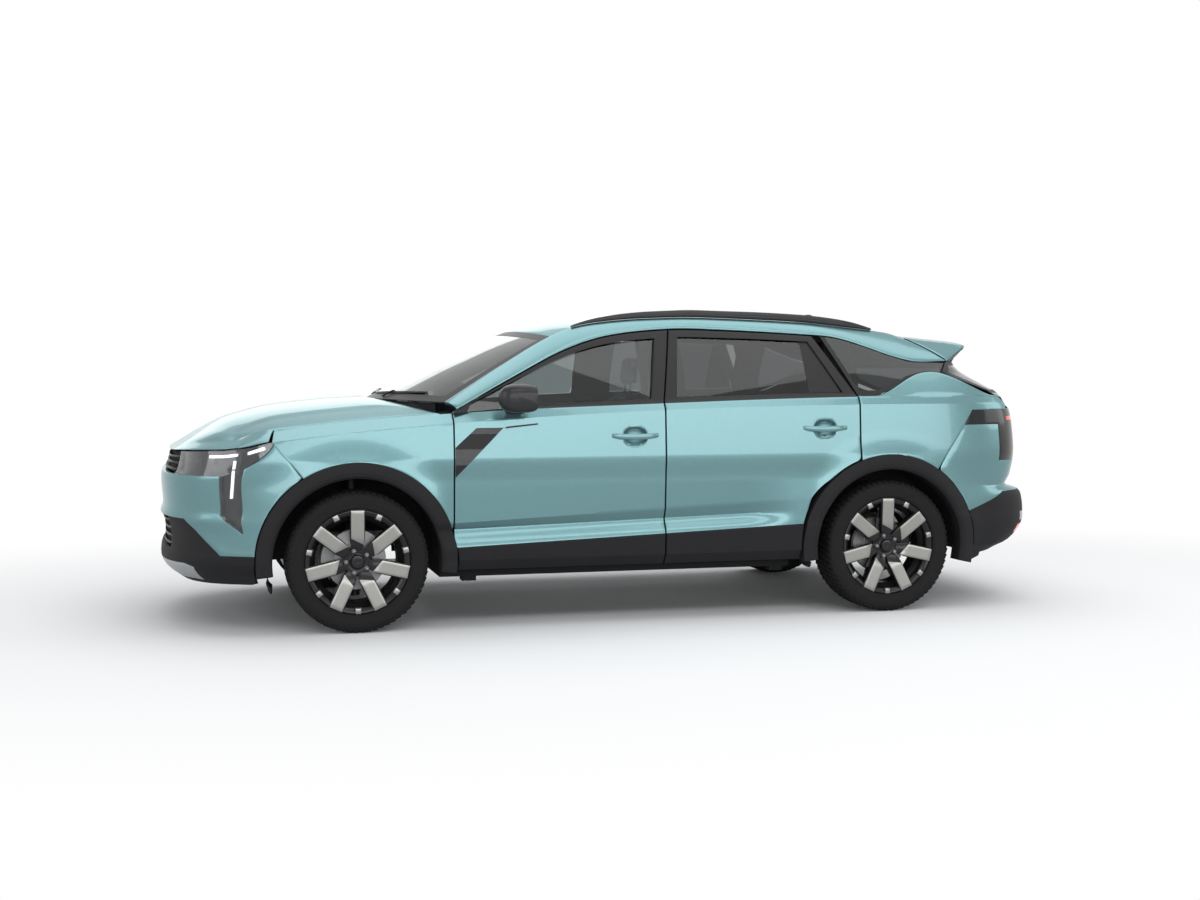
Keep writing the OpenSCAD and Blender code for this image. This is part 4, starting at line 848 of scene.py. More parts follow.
def flareBag():
    bag = Bag()
    for ax, a0, a1 in ((xf, -8, 188), (xr, -8, 192)):
        a = np.radians(np.linspace(a0, a1, 110))[None]
        k = np.linspace(0, flare["rows"][-1] - 0.3, 16)
        r = (archR + k)[:, None]
        proud = curve(k, list(zip(flare["rows"], flare["proud"])))[:, None]
        proud = proud - 2.2 * ((k > 17) & (k < 23))[:, None]  # a fine groove round the flare
        x, z = ax + r * np.cos(a), wheelZ + r * np.sin(a)
        y = np.maximum(sideY(x, np.maximum(z, sillZ + 60)), halfW - 60) + proud
        outer = np.stack([x, y, z], -1)
        inner = np.stack([x, 0 * y + halfW - flare["deep"], z], -1)
        bag.shell(outer, inner)
    return bag


flareBag().mirrored().piece("archFlares", [cladding], replaces=["arch_flares"], slot="black_plastic", bevel=2)

# rails of the roof side, roof skin and the black rack rails
s = fine(list(range(lastI + 1)), [6] * lastI)
low, top = cantAt(s, 0), cantAt(s, 1)
t = np.linspace(0, 1, 9)[:, None, None]
arc = mix(low[None], top[None], t) + 4 * t * (1 - t) * np.array([0, 14, 5])
drop = np.array([[30, 4], [28, 12], [3, 16]])
tt = np.linspace(0, 1, 9)
inset = np.stack([0 * tt, np.interp(tt, [0, 0.5, 1], drop[:, 0]), np.interp(tt, [0, 0.5, 1], drop[:, 1])],
                 -1)[:, None]
Bag().shell(arc, arc - inset, inMat=1).mirrored().piece("roofSideRails", [paint, doorCard],
                                                        replaces=["cant_rails"], slot="body_paint", bevel=1.5)

# painted sides of the spoiler from the rail ends to its rear corners, black under them
wingFront, wingS = arc[:, -1] - [gap + 5, 0, 0], np.linspace(1, 0, 9)[:, None]
corner = gateAt(np.array([14.0, 13.0]), np.array([1.0]))[0][:, 0]
wing = mix(wingFront[:, None], mix(corner[0], corner[1], wingS)[:, None],
           np.linspace(0, 1, 12)[None, :, None])
soffit = np.stack([gateAt(np.linspace(12, 13, 12), np.array([1.0]))[0][:, 0], wing[0]])
wingBag = Bag()
wingBag.shell(wing, wing - [0, 5, 5])
wingBag.shell(soffit, soffit + [3, 0, 5], mat=1, inMat=1)
wingBag.mirrored().piece("spoilerSides", [paint, frameBlack], "tailgate", slot="body_paint", bevel=1)

roofV = bothSides([1, 0.94, 0.8, 0.5, 0], [3, 5, 8, 10])
s = fine(list(range(headerI, lastI + 1)), [5] * (lastI - headerI))
edge = cantAt(s, 1)[None]
v = roofV[:, None]
nose = np.interp(s, [headerI, headerI + 1, headerI + 2], [83, 40, 0])[None]
crown = 1 - v * v
roofOut = np.stack([edge[..., 0] + nose * crown, v * (edge[..., 1] - 3.6), edge[..., 2] - 3 + 38 * crown], -1)
roofBag = Bag().shell(roofOut, roofOut - [0, 0, body["skin"]], inMat=1)
n = len(s) - 1
gIn = gateAt(np.array([16.0, 15.85, 15.6]), roofV)[1]
hang = np.stack([mix(roofOut[:, n], roofOut[:, n - 5], 0.6) - [0, 0, 24.3], roofOut[:, n] - [0, 0, 32],
                 gIn[1] - [0, 0, 1], gIn[2] - [0, 0, 1]], 1)[3:-3]
roofBag.shell(hang, hang - [0, 0, 30], mat=1, inMat=1)
roofBag.piece("roofSkin", [paint, doorCard], replaces=["roof"], slot="body_paint", bevel=1.5)

rack = {"up": [10, 24, 33, 36, 38, 38, 40, 40, 40, 38, 30, 12], "half": 14, "square": 0.6}
i = np.linspace(0, len(rack["up"]) - 1, 67)
p, h = cantAt(headerI + 1 + i, 1), curve(i, list(enumerate(rack["up"])))
ring = []
for a in np.linspace(0, 2 * pi, 20, endpoint=False):
    cy, cz = [signedPower(k, rack["square"]) for k in (cos(a), sin(a))]
    ring.append(p + np.stack([0 * h, -2 + rack["half"] * cy * (1 - 0.25 * (cz > 0)) + 0 * h,
                              0.6 + (h - 0.6) * (cz + 1) / 2], -1))
Bag().loft(np.stack(ring, 1)[:, ::-1]).mirrored().piece("rackRails", [satinBlack], replaces=["roof_rails"],
                                                        slot="black_plastic", sharp=50)
print("side and roof panels made")


# nose and tail: points round the corner at a height
# a column up to 1 runs from the arch to the lamp, above that it is an angle
front = {"lampA": 27, "archGap": 7, "seat": 0.3}
lampA = front["lampA"]
rearLampA = 31.6


def nosePt(a, z, t=0):
    a = np.radians(a)
    x = xf + (noseX(z) - xf - t) * np.sin(a) ** (2 / 3)
    return np.stack([x, (halfW - sideIn(xf + 0 * z, z) - t) * np.maximum(0, np.cos(a)) ** (2 / 3)
                     + bulge(x, z, xf, 1), z], -1)


def tailPt(a, z, t=0):
    a = np.radians(a)
    x = xr - (xr - tailX(z) - t) * np.sin(a) ** 0.5
    return np.stack([x, (halfW - sideIn(xr + 0 * z, z) - t) * np.maximum(0, np.cos(a)) ** 0.5
                     + bulge(x, z, xr, -1), z], -1)


def frontEdgeX(z):
    d = np.sqrt(np.maximum(flareR ** 2 - (z - wheelZ) ** 2, 0))
    f = unit((z - splitLow[1]) / (splitTop[1] - splitLow[1]))
    inset = mix(front["archGap"], front["seat"], unit((z - splitLow[1]) / 80))
    return np.where(z < splitLow[1], xf + d + front["archGap"], mix(splitLow[0], splitTop[0], f) + inset)


def rearEdgeX(z):
    d = np.sqrt(np.maximum(flareR ** 2 - (z - wheelZ) ** 2, 0))
    inset = mix(front["archGap"], front["seat"], unit((z - rearLamp["foot"]) / 80))
    return np.where(z < rearLamp["foot"], xr - d - front["archGap"], lampEdge(z) - inset)


def noseAt(q, z, t=0, side=1):
    q, z = np.broadcast_arrays(np.asarray(q, float), np.asarray(z, float))
    a0 = np.degrees(np.arcsin(unit((frontEdgeX(z) - xf) / (noseX(z) - xf)) ** 1.5))
    p = nosePt(np.where(q > 1, q, mix(a0, lampA, q)), z, np.where(q == 0, 0, t))
    p[..., 1] = (p[..., 1] - np.where(q == 0, t, 0)) * side
    return p


def tailAt(q, z, t=0, side=1):
    q, z = np.broadcast_arrays(np.asarray(q, float), np.asarray(z, float))
    a0 = np.degrees(np.arcsin(unit((xr - rearEdgeX(z)) / (xr - tailX(z))) ** 2))
    p = tailPt(np.where(q > 1, q, mix(a0, rearLampA, q)), z, np.where(q == 0, 0, t))
    p[..., 1] = (p[..., 1] - np.where(q == 0, t, 0)) * side
    return p


def wholeNose(qs, zs, t, at=noseAt, first=-1):  # right side to left side, or left to right at the tail
    one = [at(qs, z, t, first) for z in zs]
    two = [at(qs[:-1], z[:-1], t, -first)[::-1] for z in zs]
    return np.stack([np.concatenate([a, b]) for a, b in zip(one, two)])


def bothFaces(qs, zs, at=noseAt, first=-1):
    return [wholeNose(qs, zs, t, at, first) for t in (0, body["skin"])]


def coverLow(q):
    return np.interp(q, [0, 36, 55, 90], [372, 372, 536, 536])


def coverHigh(q):
    return np.interp(q, [0, 1, lampA, 31.5, 36, 90], [892, 777, 777, 760, 742, 742])


def coverZ(q, v):  # the upright lamp ends in a slant, lower at its rear edge
    slant = np.interp(q, [0, 1, lampA, 36, 55, 90], [0, -18, -18, 76, 0, 0])
    return mix(coverLow(q), coverHigh(q), v) + slant * np.interp(v, [0, 0.3, 1], [0, 1, 0])


def lampTop(q):
    return np.interp(q, [0, 1, lampA, 36, 64, 79, 90], [902, 874, 874, 862, 850, 842, 838])


def valanceZ(q, v):
    return mix(np.interp(q, [0, 90], [240, 222]), coverLow(q) - 0.3, v)


noseQ = np.concatenate([fine([0, 1], [14])[:-1], fine([lampA, 31.5, 36, 42, 48, 55, 62, 69, 76, 83, 90],
                                                      [4, 4, 4, 4, 5, 5, 5, 5, 5, 5])])
n0, n1 = 14, 22  # columns that hold the lamp's upright
nq = len(noseQ) * 2 - 1

# painted bumper cover with the openings of the upright lamps
vs = fine([0, 0.14, 0.3, 0.5, 0.7, 0.86, 1], [3, 4, 6, 6, 5, 4])
zs = [coverZ(noseQ, v) for v in vs]
live = np.ones((len(vs) - 1, nq - 1), bool)
upper = np.searchsorted(vs, 0.299)
live[upper:, n0:n1] = False
live[upper:, nq - 1 - n1:nq - 1 - n0] = False
Bag().shell(*bothFaces(noseQ, zs), live, inMat=1).piece(
    "frontBumper", [paint, linerPlastic], replaces=["front_bumper"], slot="body_paint", bevel=2)

# black lower part with the wide intake and a bright lip under it
vs = fine([0, 0.25, 0.5, 0.75, 1], [4, 4, 5, 5])
zs = [valanceZ(noseQ, v) for v in vs]
live = np.ones((len(vs) - 1, nq - 1), bool)
g0 = int(np.searchsorted(noseQ, 68.99))
live[8:, g0:nq - 1 - g0] = False
mat = np.zeros(live.shape, int)
mat[1:5, g0 - 14:nq - 1 - g0 + 14] = 1
Bag().shell(*bothFaces(noseQ, zs), live, mat).piece(
    "frontValance", [cladding, skidSilver], replaces=["front_valance"], slot="black_plastic", bevel=1.5)


# geometry nodes by short calls
class GeoTree:
    def __init__(self, name, inputs):
        self.tree = bpy.data.node_groups.new(name, "GeometryNodeTree")
        face = self.tree.interface
        face.new_socket("Geometry", in_out="INPUT", socket_type="NodeSocketGeometry")
        for key, kind, value in inputs:
            made = face.new_socket(key, in_out="INPUT", socket_type="NodeSocket" + kind)
            if value is not None:
                made.default_value = value
        face.new_socket("Finish", in_out="INPUT", socket_type="NodeSocketMaterial")
        face.new_socket("Geometry", in_out="OUTPUT", socket_type="NodeSocketGeometry")
        self.source = self.tree.nodes.new("NodeGroupInput")

    def given(self, key):
        return self.source.outputs[key]

    def node(self, kind, settings, values):  # values are numbers or sockets
        n = self.tree.nodes.new(kind)
        for key, value in settings.items():
            setattr(n, key, value)
        for key, value in values.items():
            for one in value if isinstance(value, list) else [value]:
                if isinstance(one, bpy.types.NodeSocket):
                    self.tree.links.new(one, n.inputs[key])
                else:
                    n.inputs[key].default_value = one
        return n.outputs[0] if n.outputs else None

    def maths(self, operation, a, b):
        return self.node("ShaderNodeMath", {"operation": operation}, {0: a, 1: b})

    def finish(self, parts):
        whole = self.node("GeometryNodeJoinGeometry", {}, {0: parts})
        real = self.node("GeometryNodeRealizeInstances", {}, {0: whole})
        made = self.node("GeometryNodeSetMaterial", {}, {0: real, "Material": self.given("Finish")})
        self.node("NodeGroupOutput", {}, {0: made})
        return self.tree

    def ring(self, count, radius, shape, along, tilt=0.0, slant=0.0, shift=0.0):  # round the axle
        spots = self.node("GeometryNodeMeshCircle", {}, {"Vertices": count, "Radius": radius})
        index = self.node("GeometryNodeInputIndex", {}, {})
        angle = self.maths("DIVIDE", self.maths("MULTIPLY", index, 2 * pi), count)
        turn = self.node("ShaderNodeCombineXYZ", {}, {0: slant, 1: tilt, 2: angle})
        copies = self.node("GeometryNodeInstanceOnPoints", {}, {"Points": spots, "Instance": shape,
                                                                "Rotation": turn})
        spun = self.node("GeometryNodeTransform", {}, {"Geometry": copies, "Rotation": (0, 0, shift),
                                                       "Translation": (0, 0, along)})
        return self.node("GeometryNodeTransform", {}, {"Geometry": spun, "Rotation": (-pi / 2, 0, 0),
                                                       "Translation": self.given("Centre")})


# honeycomb: a net of triangles whose dual is hexagons, each edge a small bar
def honeycombTree():
    g = GeoTree("honeycomb", [("Bar Width", "Float", 0.004), ("Bar Depth", "Float", 0.016)])
    dual = g.node("GeometryNodeDualMesh", {}, {0: g.given("Geometry")})
    edges = g.node("GeometryNodeMeshToCurve", {}, {0: dual})
    level = g.node("GeometryNodeSetCurveNormal", {"mode": "Z_UP"}, {0: edges})
    size = {"Height": g.given("Bar Width"), "Width": g.given("Bar Depth")}
    bar = g.node("GeometryNodeCurvePrimitiveQuadrilateral", {}, size)
    swept = g.node("GeometryNodeCurveToMesh", {}, {"Curve": level, "Profile Curve": bar, "Fill Caps": True})
    return g.finish([swept])


def runTree(tree, mesh, name, inputs):  # inputs are set by identifier before the first evaluation
    obj = bpy.data.objects.new(name, mesh)
    bpy.context.scene.collection.objects.link(obj)
    mod = obj.modifiers.new("make", "NODES")
    mod.node_group = tree
    keys = {s.name: s.identifier for s in tree.interface.items_tree if s.in_out == "INPUT"}
    for key, value in inputs.items():
        mod[keys[key]] = value
    return bakeModifiers(obj)


honeycomb = honeycombTree()
grille = {"cell": 40, "sink": 16, "barWidth": 0.0045, "barDepth": 0.014}


def netPatch(width, z0, z1, depth, at):  # staggered triangles between two heights, laid on the nose
    rows = max(3, int(round((z1(0) - z0(0)) / (grille["cell"] * 0.87))))
    verts, index, faces = [], {}, []
    cols = int(width / grille["cell"] * 1.15)
    for i in range(rows + 1):
        for j in range(-cols, cols + 1):
            y = unit((j + 0.5 * (i % 2)) / cols * 0.5 + 0.5) * 2 * width - width
            z = mix(z0(y), z1(y), i / rows)
            index[i, j] = len(verts)
            verts.append(at(y, z, depth))
    for i in range(rows):
        for j in range(-cols, cols):
            a, b, c, d = index[i, j], index[i, j + 1], index[i + 1, j], index[i + 1, j + 1]
            faces += [(a, b, d), (a, d, c)] if i % 2 else [(a, b, c), (b, d, c)]
    mesh = bpy.data.meshes.new("net")
    mesh.from_pydata(((np.array(verts) + [midX, 0, 0]) * mm).tolist(), [], faces)
    return mesh


def noseByY(y, z, t):  # point of the nose surface at a side position
    w = halfW - float(sideIn(np.array(xf), np.array(float(z)))) - t
    x = xf + (float(noseX(np.array(float(z)))) - xf - t) * max(0, 1 - abs(y / w) ** 3) ** (1 / 3)
    return [x, y, z]


def angleOfY(y):
    return degrees(np.arccos(unit((abs(y) / (halfW - 14)) ** 1.5)))


upperW = float(nosePt(np.array(64.8), np.array(790.0))[1])
lowerW = float(nosePt(np.array(69.8), np.array(430.0))[1])
grilleBag = Bag()
q = fine([64.0, 76, 90], [10, 12])
zs = [745 + 0 * q, 790 + 0 * q, lampTop(q) - 6]
grilleBag.shell(wholeNose(q, zs, 34), wholeNose(q, zs, 45))
q = fine([69.2, 76, 90], [8, 12])
zs = [valanceZ(q, v) for v in (0.505, 0.75, 0.995)]
grilleBag.shell(wholeNose(q, zs, 34), wholeNose(q, zs, 40))
grilleBag.piece("grilleBacks", [linerPlastic], replaces=["grilles"], slot="black_plastic")
for name, width, z0, z1 in (("upperGrille", upperW, lambda y: 749,
                             lambda y: float(lampTop(np.array(angleOfY(y)))) - 9),
                            ("lowerGrille", lowerW, lambda y: float(valanceZ(np.array(angleOfY(y)), 0.515)),
                             lambda y: float(valanceZ(np.array(angleOfY(y)), 0.985)))):
    net = runTree(honeycomb, netPatch(width, z0, z1, grille["sink"], noseByY), name,
                  {"Bar Width": grille["barWidth"], "Bar Depth": grille["barDepth"], "Finish": glossBlack})
    shade(net.data, 30)
    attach(net, "body")

# headlamps: dark bowl, light bars, projectors and a clear cover over them
lamp = {"bar": 13, "bars": [(0.42, 0.97), (31.0, 44.0)], "projectors": [(43.0, 812), (51.0, 808)]}
lampQ = np.concatenate([fine([0, 0.7], [8]), fine([lampA + 0.05, 31.5, 35.95, 42, 48, 55, 62, 63.6],
                                                  [4, 4, 4, 4, 5, 5, 2])])
c0 = 9


def lampRows(q):
    base = [coverZ(q, v) + np.where(q < 1, 4.5, 0.3) for v in fine([0.3, 0.5, 0.7, 0.86, 1], [3, 3, 3, 3])]
    mid = np.interp(q, [0, 1, lampA, 36, 90], [899, 828, 828, 803, 796])
    return base + [mix(base[-1], mid, 0.5), mid, mix(mid, lampTop(q), 0.5), lampTop(q)]


zs = lampRows(lampQ)
live = np.ones((len(zs) - 1, len(lampQ) - 1), bool)
up0, up1 = c0, c0 + 8
live[:12, :up0] = False
live[:12, up1:] = False
deep = np.where(lampQ < 31, 24, 60)
lens, lensIn = [np.stack([noseAt(lampQ, z, t) for z in zs])[:, ::-1] for t in (0.5, 4)]
bowl, back = [np.stack([noseAt(lampQ, z, t) for z in zs])[:, ::-1] for t in (np.minimum(26, deep - 3), deep)]
live = live[:, ::-1]
bowlBag = Bag().shell(bowl, back, live)


def noseStrip(qs, z0, z1, t0, t1):  # a strip that follows the nose, columns run front to rear
    zs = [z0(qs), z1(qs)]
    return [np.stack([noseAt(qs, z, t) for z in zs])[:, ::-1] for t in (t0, t1)]


lights = Bag()
for qa, qb in lamp["bars"]:
    qs = np.linspace(qa, qb, 16)
    barZ = lambda q: np.interp(q, [0, 1, lampA, 36, 64], [886, 842, 842, 828, 818])
    lights.shell(*noseStrip(qs, barZ, lambda q: barZ(q) + lamp["bar"], 8, 20))
qs = np.linspace(31.4, 32.1, 4)
for z0, z1 in ((640, 770), (776, 815)):
    lights.shell(*noseStrip(qs, lambda q: z0 + 0 * q, lambda q: z1 + 0 * q, 8, 20))
projectors = Bag()
for qp, zp in lamp["projectors"]:
    c = noseAt(np.array(qp), np.array(float(zp)), 20)
    d = np.array([0.86, 0.5, 0])
    e = np.array([-0.5, 0.86, 0])
    rings = []
    for r, f in ((19, -14), (19, 4), (17, 6), (15.5, 2), (11, 7), (5, 9.5), (0.5, 10)):
        rings.append([c + d * f + r * (e * cos(a) + np.array([0, 0, sin(a)]))
                      for a in np.linspace(0, 2 * pi, 28, endpoint=False)])
    projectors.loft(np.array(rings))
bowlBag.mirrored().piece("headlampBowls", [glossBlack], replaces=["headlamps"], slot="clear_lens", bevel=1)
lights.mirrored().piece("dayLights", [whiteLight], slot="clear_lens", bevel=1)
projectors.mirrored().piece("projectors", [lampLens], slot="clear_lens")
Bag().shell(lens, lensIn, live).mirrored().piece("headlampCovers", [lampLens], slot="clear_lens")

# rear bumper, its black lower part, lamps
def ledgeZ(q):
    return np.interp(q, [0, 1, 90], [508, 600, 600])


tailQ = np.concatenate([fine([0, 0.5], [5]), fine([0.5, 1], [5])[1:-1],
                        fine([rearLampA, 38, 45, 52, 59, 66, 74, 82, 90], [4, 4, 4, 4, 4, 4, 4, 4])])
tq = len(tailQ) * 2 - 1
at1 = int(np.searchsorted(tailQ, rearLampA - 0.01))
at59 = int(np.searchsorted(tailQ, 58.99))
lowZ = ledgeZ(tailQ)
rows = [lowZ, mix(lowZ, 632, 0.3), mix(lowZ, 632, 0.6), 632 + 0 * lowZ]
rows += [z + 0 * lowZ for z in (655, 677, 700, 720, 741, 762, 795, 828, 860, 891, 922, 953)]
live = np.ones((len(rows) - 1, tq - 1), bool)
live[3:9, at59:tq - 1 - at59] = False
live[9:, at1:tq - 1 - at1] = False
Bag().shell(*bothFaces(tailQ, rows, tailAt, 1), live, inMat=1).piece(
    "rearBumper", [paint, linerPlastic], replaces=["rear_bumper"], slot="body_paint", bevel=2)
vs = fine([0, 0.15, 0.35, 0.55, 0.85, 1], [3, 3, 3, 4, 3])
rows = [mix(np.interp(tailQ, [0, 1, 45, 90], [238, 262, 285, 300]), lowZ - 0.3, v) for v in vs]
mat = np.zeros((len(vs) - 1, tq - 1), int)
mat[1:8, at59 - 4:tq - 1 - at59 + 4] = 1
mat[8:10, at1 + 9:tq - 1 - at1 - 9] = 1
# the small red reflectors low on the bumper corners take the glowing red lens finish, a painted glow, since a
# reflector is no lamp
mat[5:7, at1 + 8:at1 + 13] = 2
mat[5:7, tq - 1 - at1 - 13:tq - 1 - at1 - 8] = 2
Bag().shell(*bothFaces(tailQ, rows, tailAt, 1), mat=mat).piece("rearValance", [cladding, skidSilver, redGlowLens],
                                                               replaces=["rear_valance"],
                                                               slot="black_plastic", bevel=1.5)
rearQ = np.concatenate([fine([0, 0.5], [6]), fine([rearLampA + 0.05, 38, 45, 52, 58.4], [4, 4, 4, 4])])
rows = [z + 0 * rearQ for z in np.concatenate([np.linspace(762.3, 953.3, 9), np.linspace(962, 1029.7, 8)])]
live = np.ones((len(rows) - 1, len(rearQ) - 1), bool)
live[:8, :7] = False
mat = np.zeros(live.shape, int)
mat[10:12, 13:] = 1
mat[1:8, 19:22] = 1
outer, inner = [np.stack([tailAt(rearQ, z, t) for z in rows]) for t in (0, 58)]
Bag().shell(outer, inner, live, mat).mirrored().piece("rearLamps", [glossBlack, redGlowLens],
                                                      replaces=["tail_lamps"], slot="red_lens", bevel=1.5)
print("nose and tail made")

# bonnet
hoodY = halfW - 105
hoodTip = halfW - 47
hoodMid = [(xf - 420, 1100), (xf - 170, 1100), (xf - 100, 1095), (xf + 186, 1070), (xf + 378, 1046),
           (xf + 506, 1014), (xf + 607, 982), (xf + 720, 922), (xf + 815, 868), (xf + 870, 852)]


def hoodFront(y):
    return xf + (noseX(850.0) - xf - 6) * roundOff(abs(y) / (halfW - 14), 3)


def hoodRear(v):
    return xf - 100 - 310 * v * v


def hoodZ(x, y):
    m = curve(x, hoodMid)
    e = beltZ(x) - 0.6 * np.maximum(0, abs(y) - hoodY)
    return mix(m, np.minimum(m, e), unit(abs(y) / hoodY) ** 2.4) + 4


def hoodPt(u, v):
    u, v = np.broadcast_arrays(u, v)
    x1 = mix(hoodFront(hoodTip), hoodRear(1.0), u)
    side = sideY(x1, beltZ(x1)) - gap
    tipW = unit(1 - u / 0.035)
    y = v * mix(side, hoodTip, tipW)
    x = mix(hoodFront(v * hoodTip), hoodRear(v), u)
    a = np.degrees(np.arccos(unit(abs(v) * hoodTip / (halfW - 14)) ** 1.5))
    f = lampTop(np.where(a < lampA, unit((a - 17.8) / (lampA - 17.8)), a)) + gap
    z0 = hoodZ(hoodFront(v * hoodTip), v * hoodTip)
    crease = 5 * ease((0.80 - abs(v)) / 0.1) * ease((u - 0.05) / 0.3) * ease((1.02 - u) / 0.2)
    return np.stack([x, y, hoodZ(x, y) + crease + (f - z0) * unit(1 - u / 0.14) ** 2], -1)


hu = fine([0, 0.035, 0.14, 0.28, 0.46, 0.64, 0.82, 1], [4, 8, 8, 8, 8, 8, 8])[None]
hv = bothSides([1, 0.92, 0.75, 0.5, 0.25, 0], [6, 12, 8, 6, 5])[:, None]
top = hoodPt(hu, hv)
thick = np.interp(hu, [0, 0.035, 0.14], [2, 10, 24])
under = top - np.stack([0 * top[..., 0], 0 * top[..., 0], thick + 0 * top[..., 0]], -1)
Bag().shell(top, under, inMat=1).piece("bonnetSkin", [paint, linerPlastic], "bonnet", ["bonnet"],
                                       "body_paint", 1.5)

# fixed glass
sv = bothSides([1, 0.94, 0.8, 0.5, 0], [2, 4, 6, 8])[:, None]
pane = {"ahead": (283, 83), "up": (10, 34), "belly": 16}
i = np.linspace(0, headerI, 25)
p, tt, qq = cantAt(i, 1)[None], (i / headerI)[None], 1 - sv * sv
screen = np.stack([p[..., 0] + mix(*pane["ahead"], tt) * qq + 3 * (tt > 0.99), sv * (p[..., 1] - 2),
                   p[..., 2] - 2 + mix(*pane["up"], tt) * qq + pane["belly"] * tt * (1 - tt) * qq], -1)
mat = np.zeros((screen.shape[0] - 1, screen.shape[1] - 1), int)
mat[:2] = mat[-2:] = 1
mat[:, :2] = mat[:, -2:] = 1
glassBag = Bag().shell(screen, screen - [0, 0, 5], mat=mat)


def sideGlassZ(x):
    xs = [float(mix(quarterX0, lampEdge(rearLamp["head"]), u / 6)) for u in range(7)]
    return np.interp(x, xs[::-1], [float(pillarTop(np.array(k))) for k in xs[::-1]]) + 0.6


bx = np.array([mix(quarterX0, lampEdge(rearLamp["head"]), u / 6) for u in range(5)] + [xr - 338])
tx = np.array([cantX[k][0] + (-70 if k == 20 else 0) for k in range(15, 21)])
tz = cantZ(tx) - np.array([5, 5, 5, 5, 9, 9])
f = np.linspace(0, 5, 41)
vs = np.linspace(0, 1, 13)[:, None]
x = mix(np.interp(f, range(6), bx)[None], np.interp(f, range(6), tx)[None], vs)
z = mix(np.interp(f, range(6), sideGlassZ(bx))[None], np.interp(f, range(6), tz)[None], vs)
quarterGlass = Bag().shell(onSide(x, z, -4), onSide(x, z, -12),
                           mat=np.where((np.arange(40) < 2)[None] | (np.arange(12) < 1)[:, None], 1, 2))
zr = np.linspace(1214.4, 1272, 8)  # black return from the glass to the tailgate
gateEdge = np.stack([np.interp(zr, gateRows[:, 0], gateRows[:, 1] + gateRows[:, 3]) + 9,
                     np.interp(zr, gateRows[:, 0], gateRows[:, 2]) + 7, zr], -1)
glassEnd = onSide(np.interp(zr, [1214.4, 1272.7], [bx[-1], tx[-1]]), zr, -5)
jamb = np.stack([mix(glassEnd, gateEdge, t) for t in np.linspace(0, 1, 6)], 1)
quarterGlass.shell(jamb, jamb + [5, -3, 0], mat=1, inMat=1)
quarterGlass.mirrored()
glassBag.add(np.concatenate(quarterGlass.verts), quarterGlass.faces, quarterGlass.mats)
glassBag.piece("fixedGlass", [sideGlass, frameBlack, privacyGlass], replaces=["fixed_glass"],
               slot="tinted_glass")
print("bonnet and glass made")


# wheels
wheel = {"rimR": 229, "spokes": 7, "plateW": 61, "plateOut": 243, "plateIn": (112, 79), "square": 25,
         "squareR": 232, "nuts": 5, "nutRing": 54, "nutR": 10.5, "discR": 145, "treadCount": 66,
         "treadR": 328, "treadDeep": 7}
rimR = wheel["rimR"]


# r runs along a spoke that is turned rearward from the top, t across it and h outward
def wheelPt(ax, turn, r, t, h):
    r, t, h = np.broadcast_arrays(np.asarray(r, float), t, h)
    x, z = ax - r * sin(turn) - t * cos(turn), wheelZ + r * cos(turn) - t * sin(turn)
    return np.stack([x, wheelY + h, z], -1)


def lathe(bag, ax, profile, n, mat=0):  # the profile is radius, distance outward
    profile = np.array(profile, float)
    return bag.loft([wheelPt(ax, a, profile[:, 0], 0, profile[:, 1])
                     for a in np.linspace(0, 2 * pi, n, endpoint=False)], mat, False, True)


def spokeFace(r):
    return np.interp(r, [56, 100, 246], [72, 88, 96])


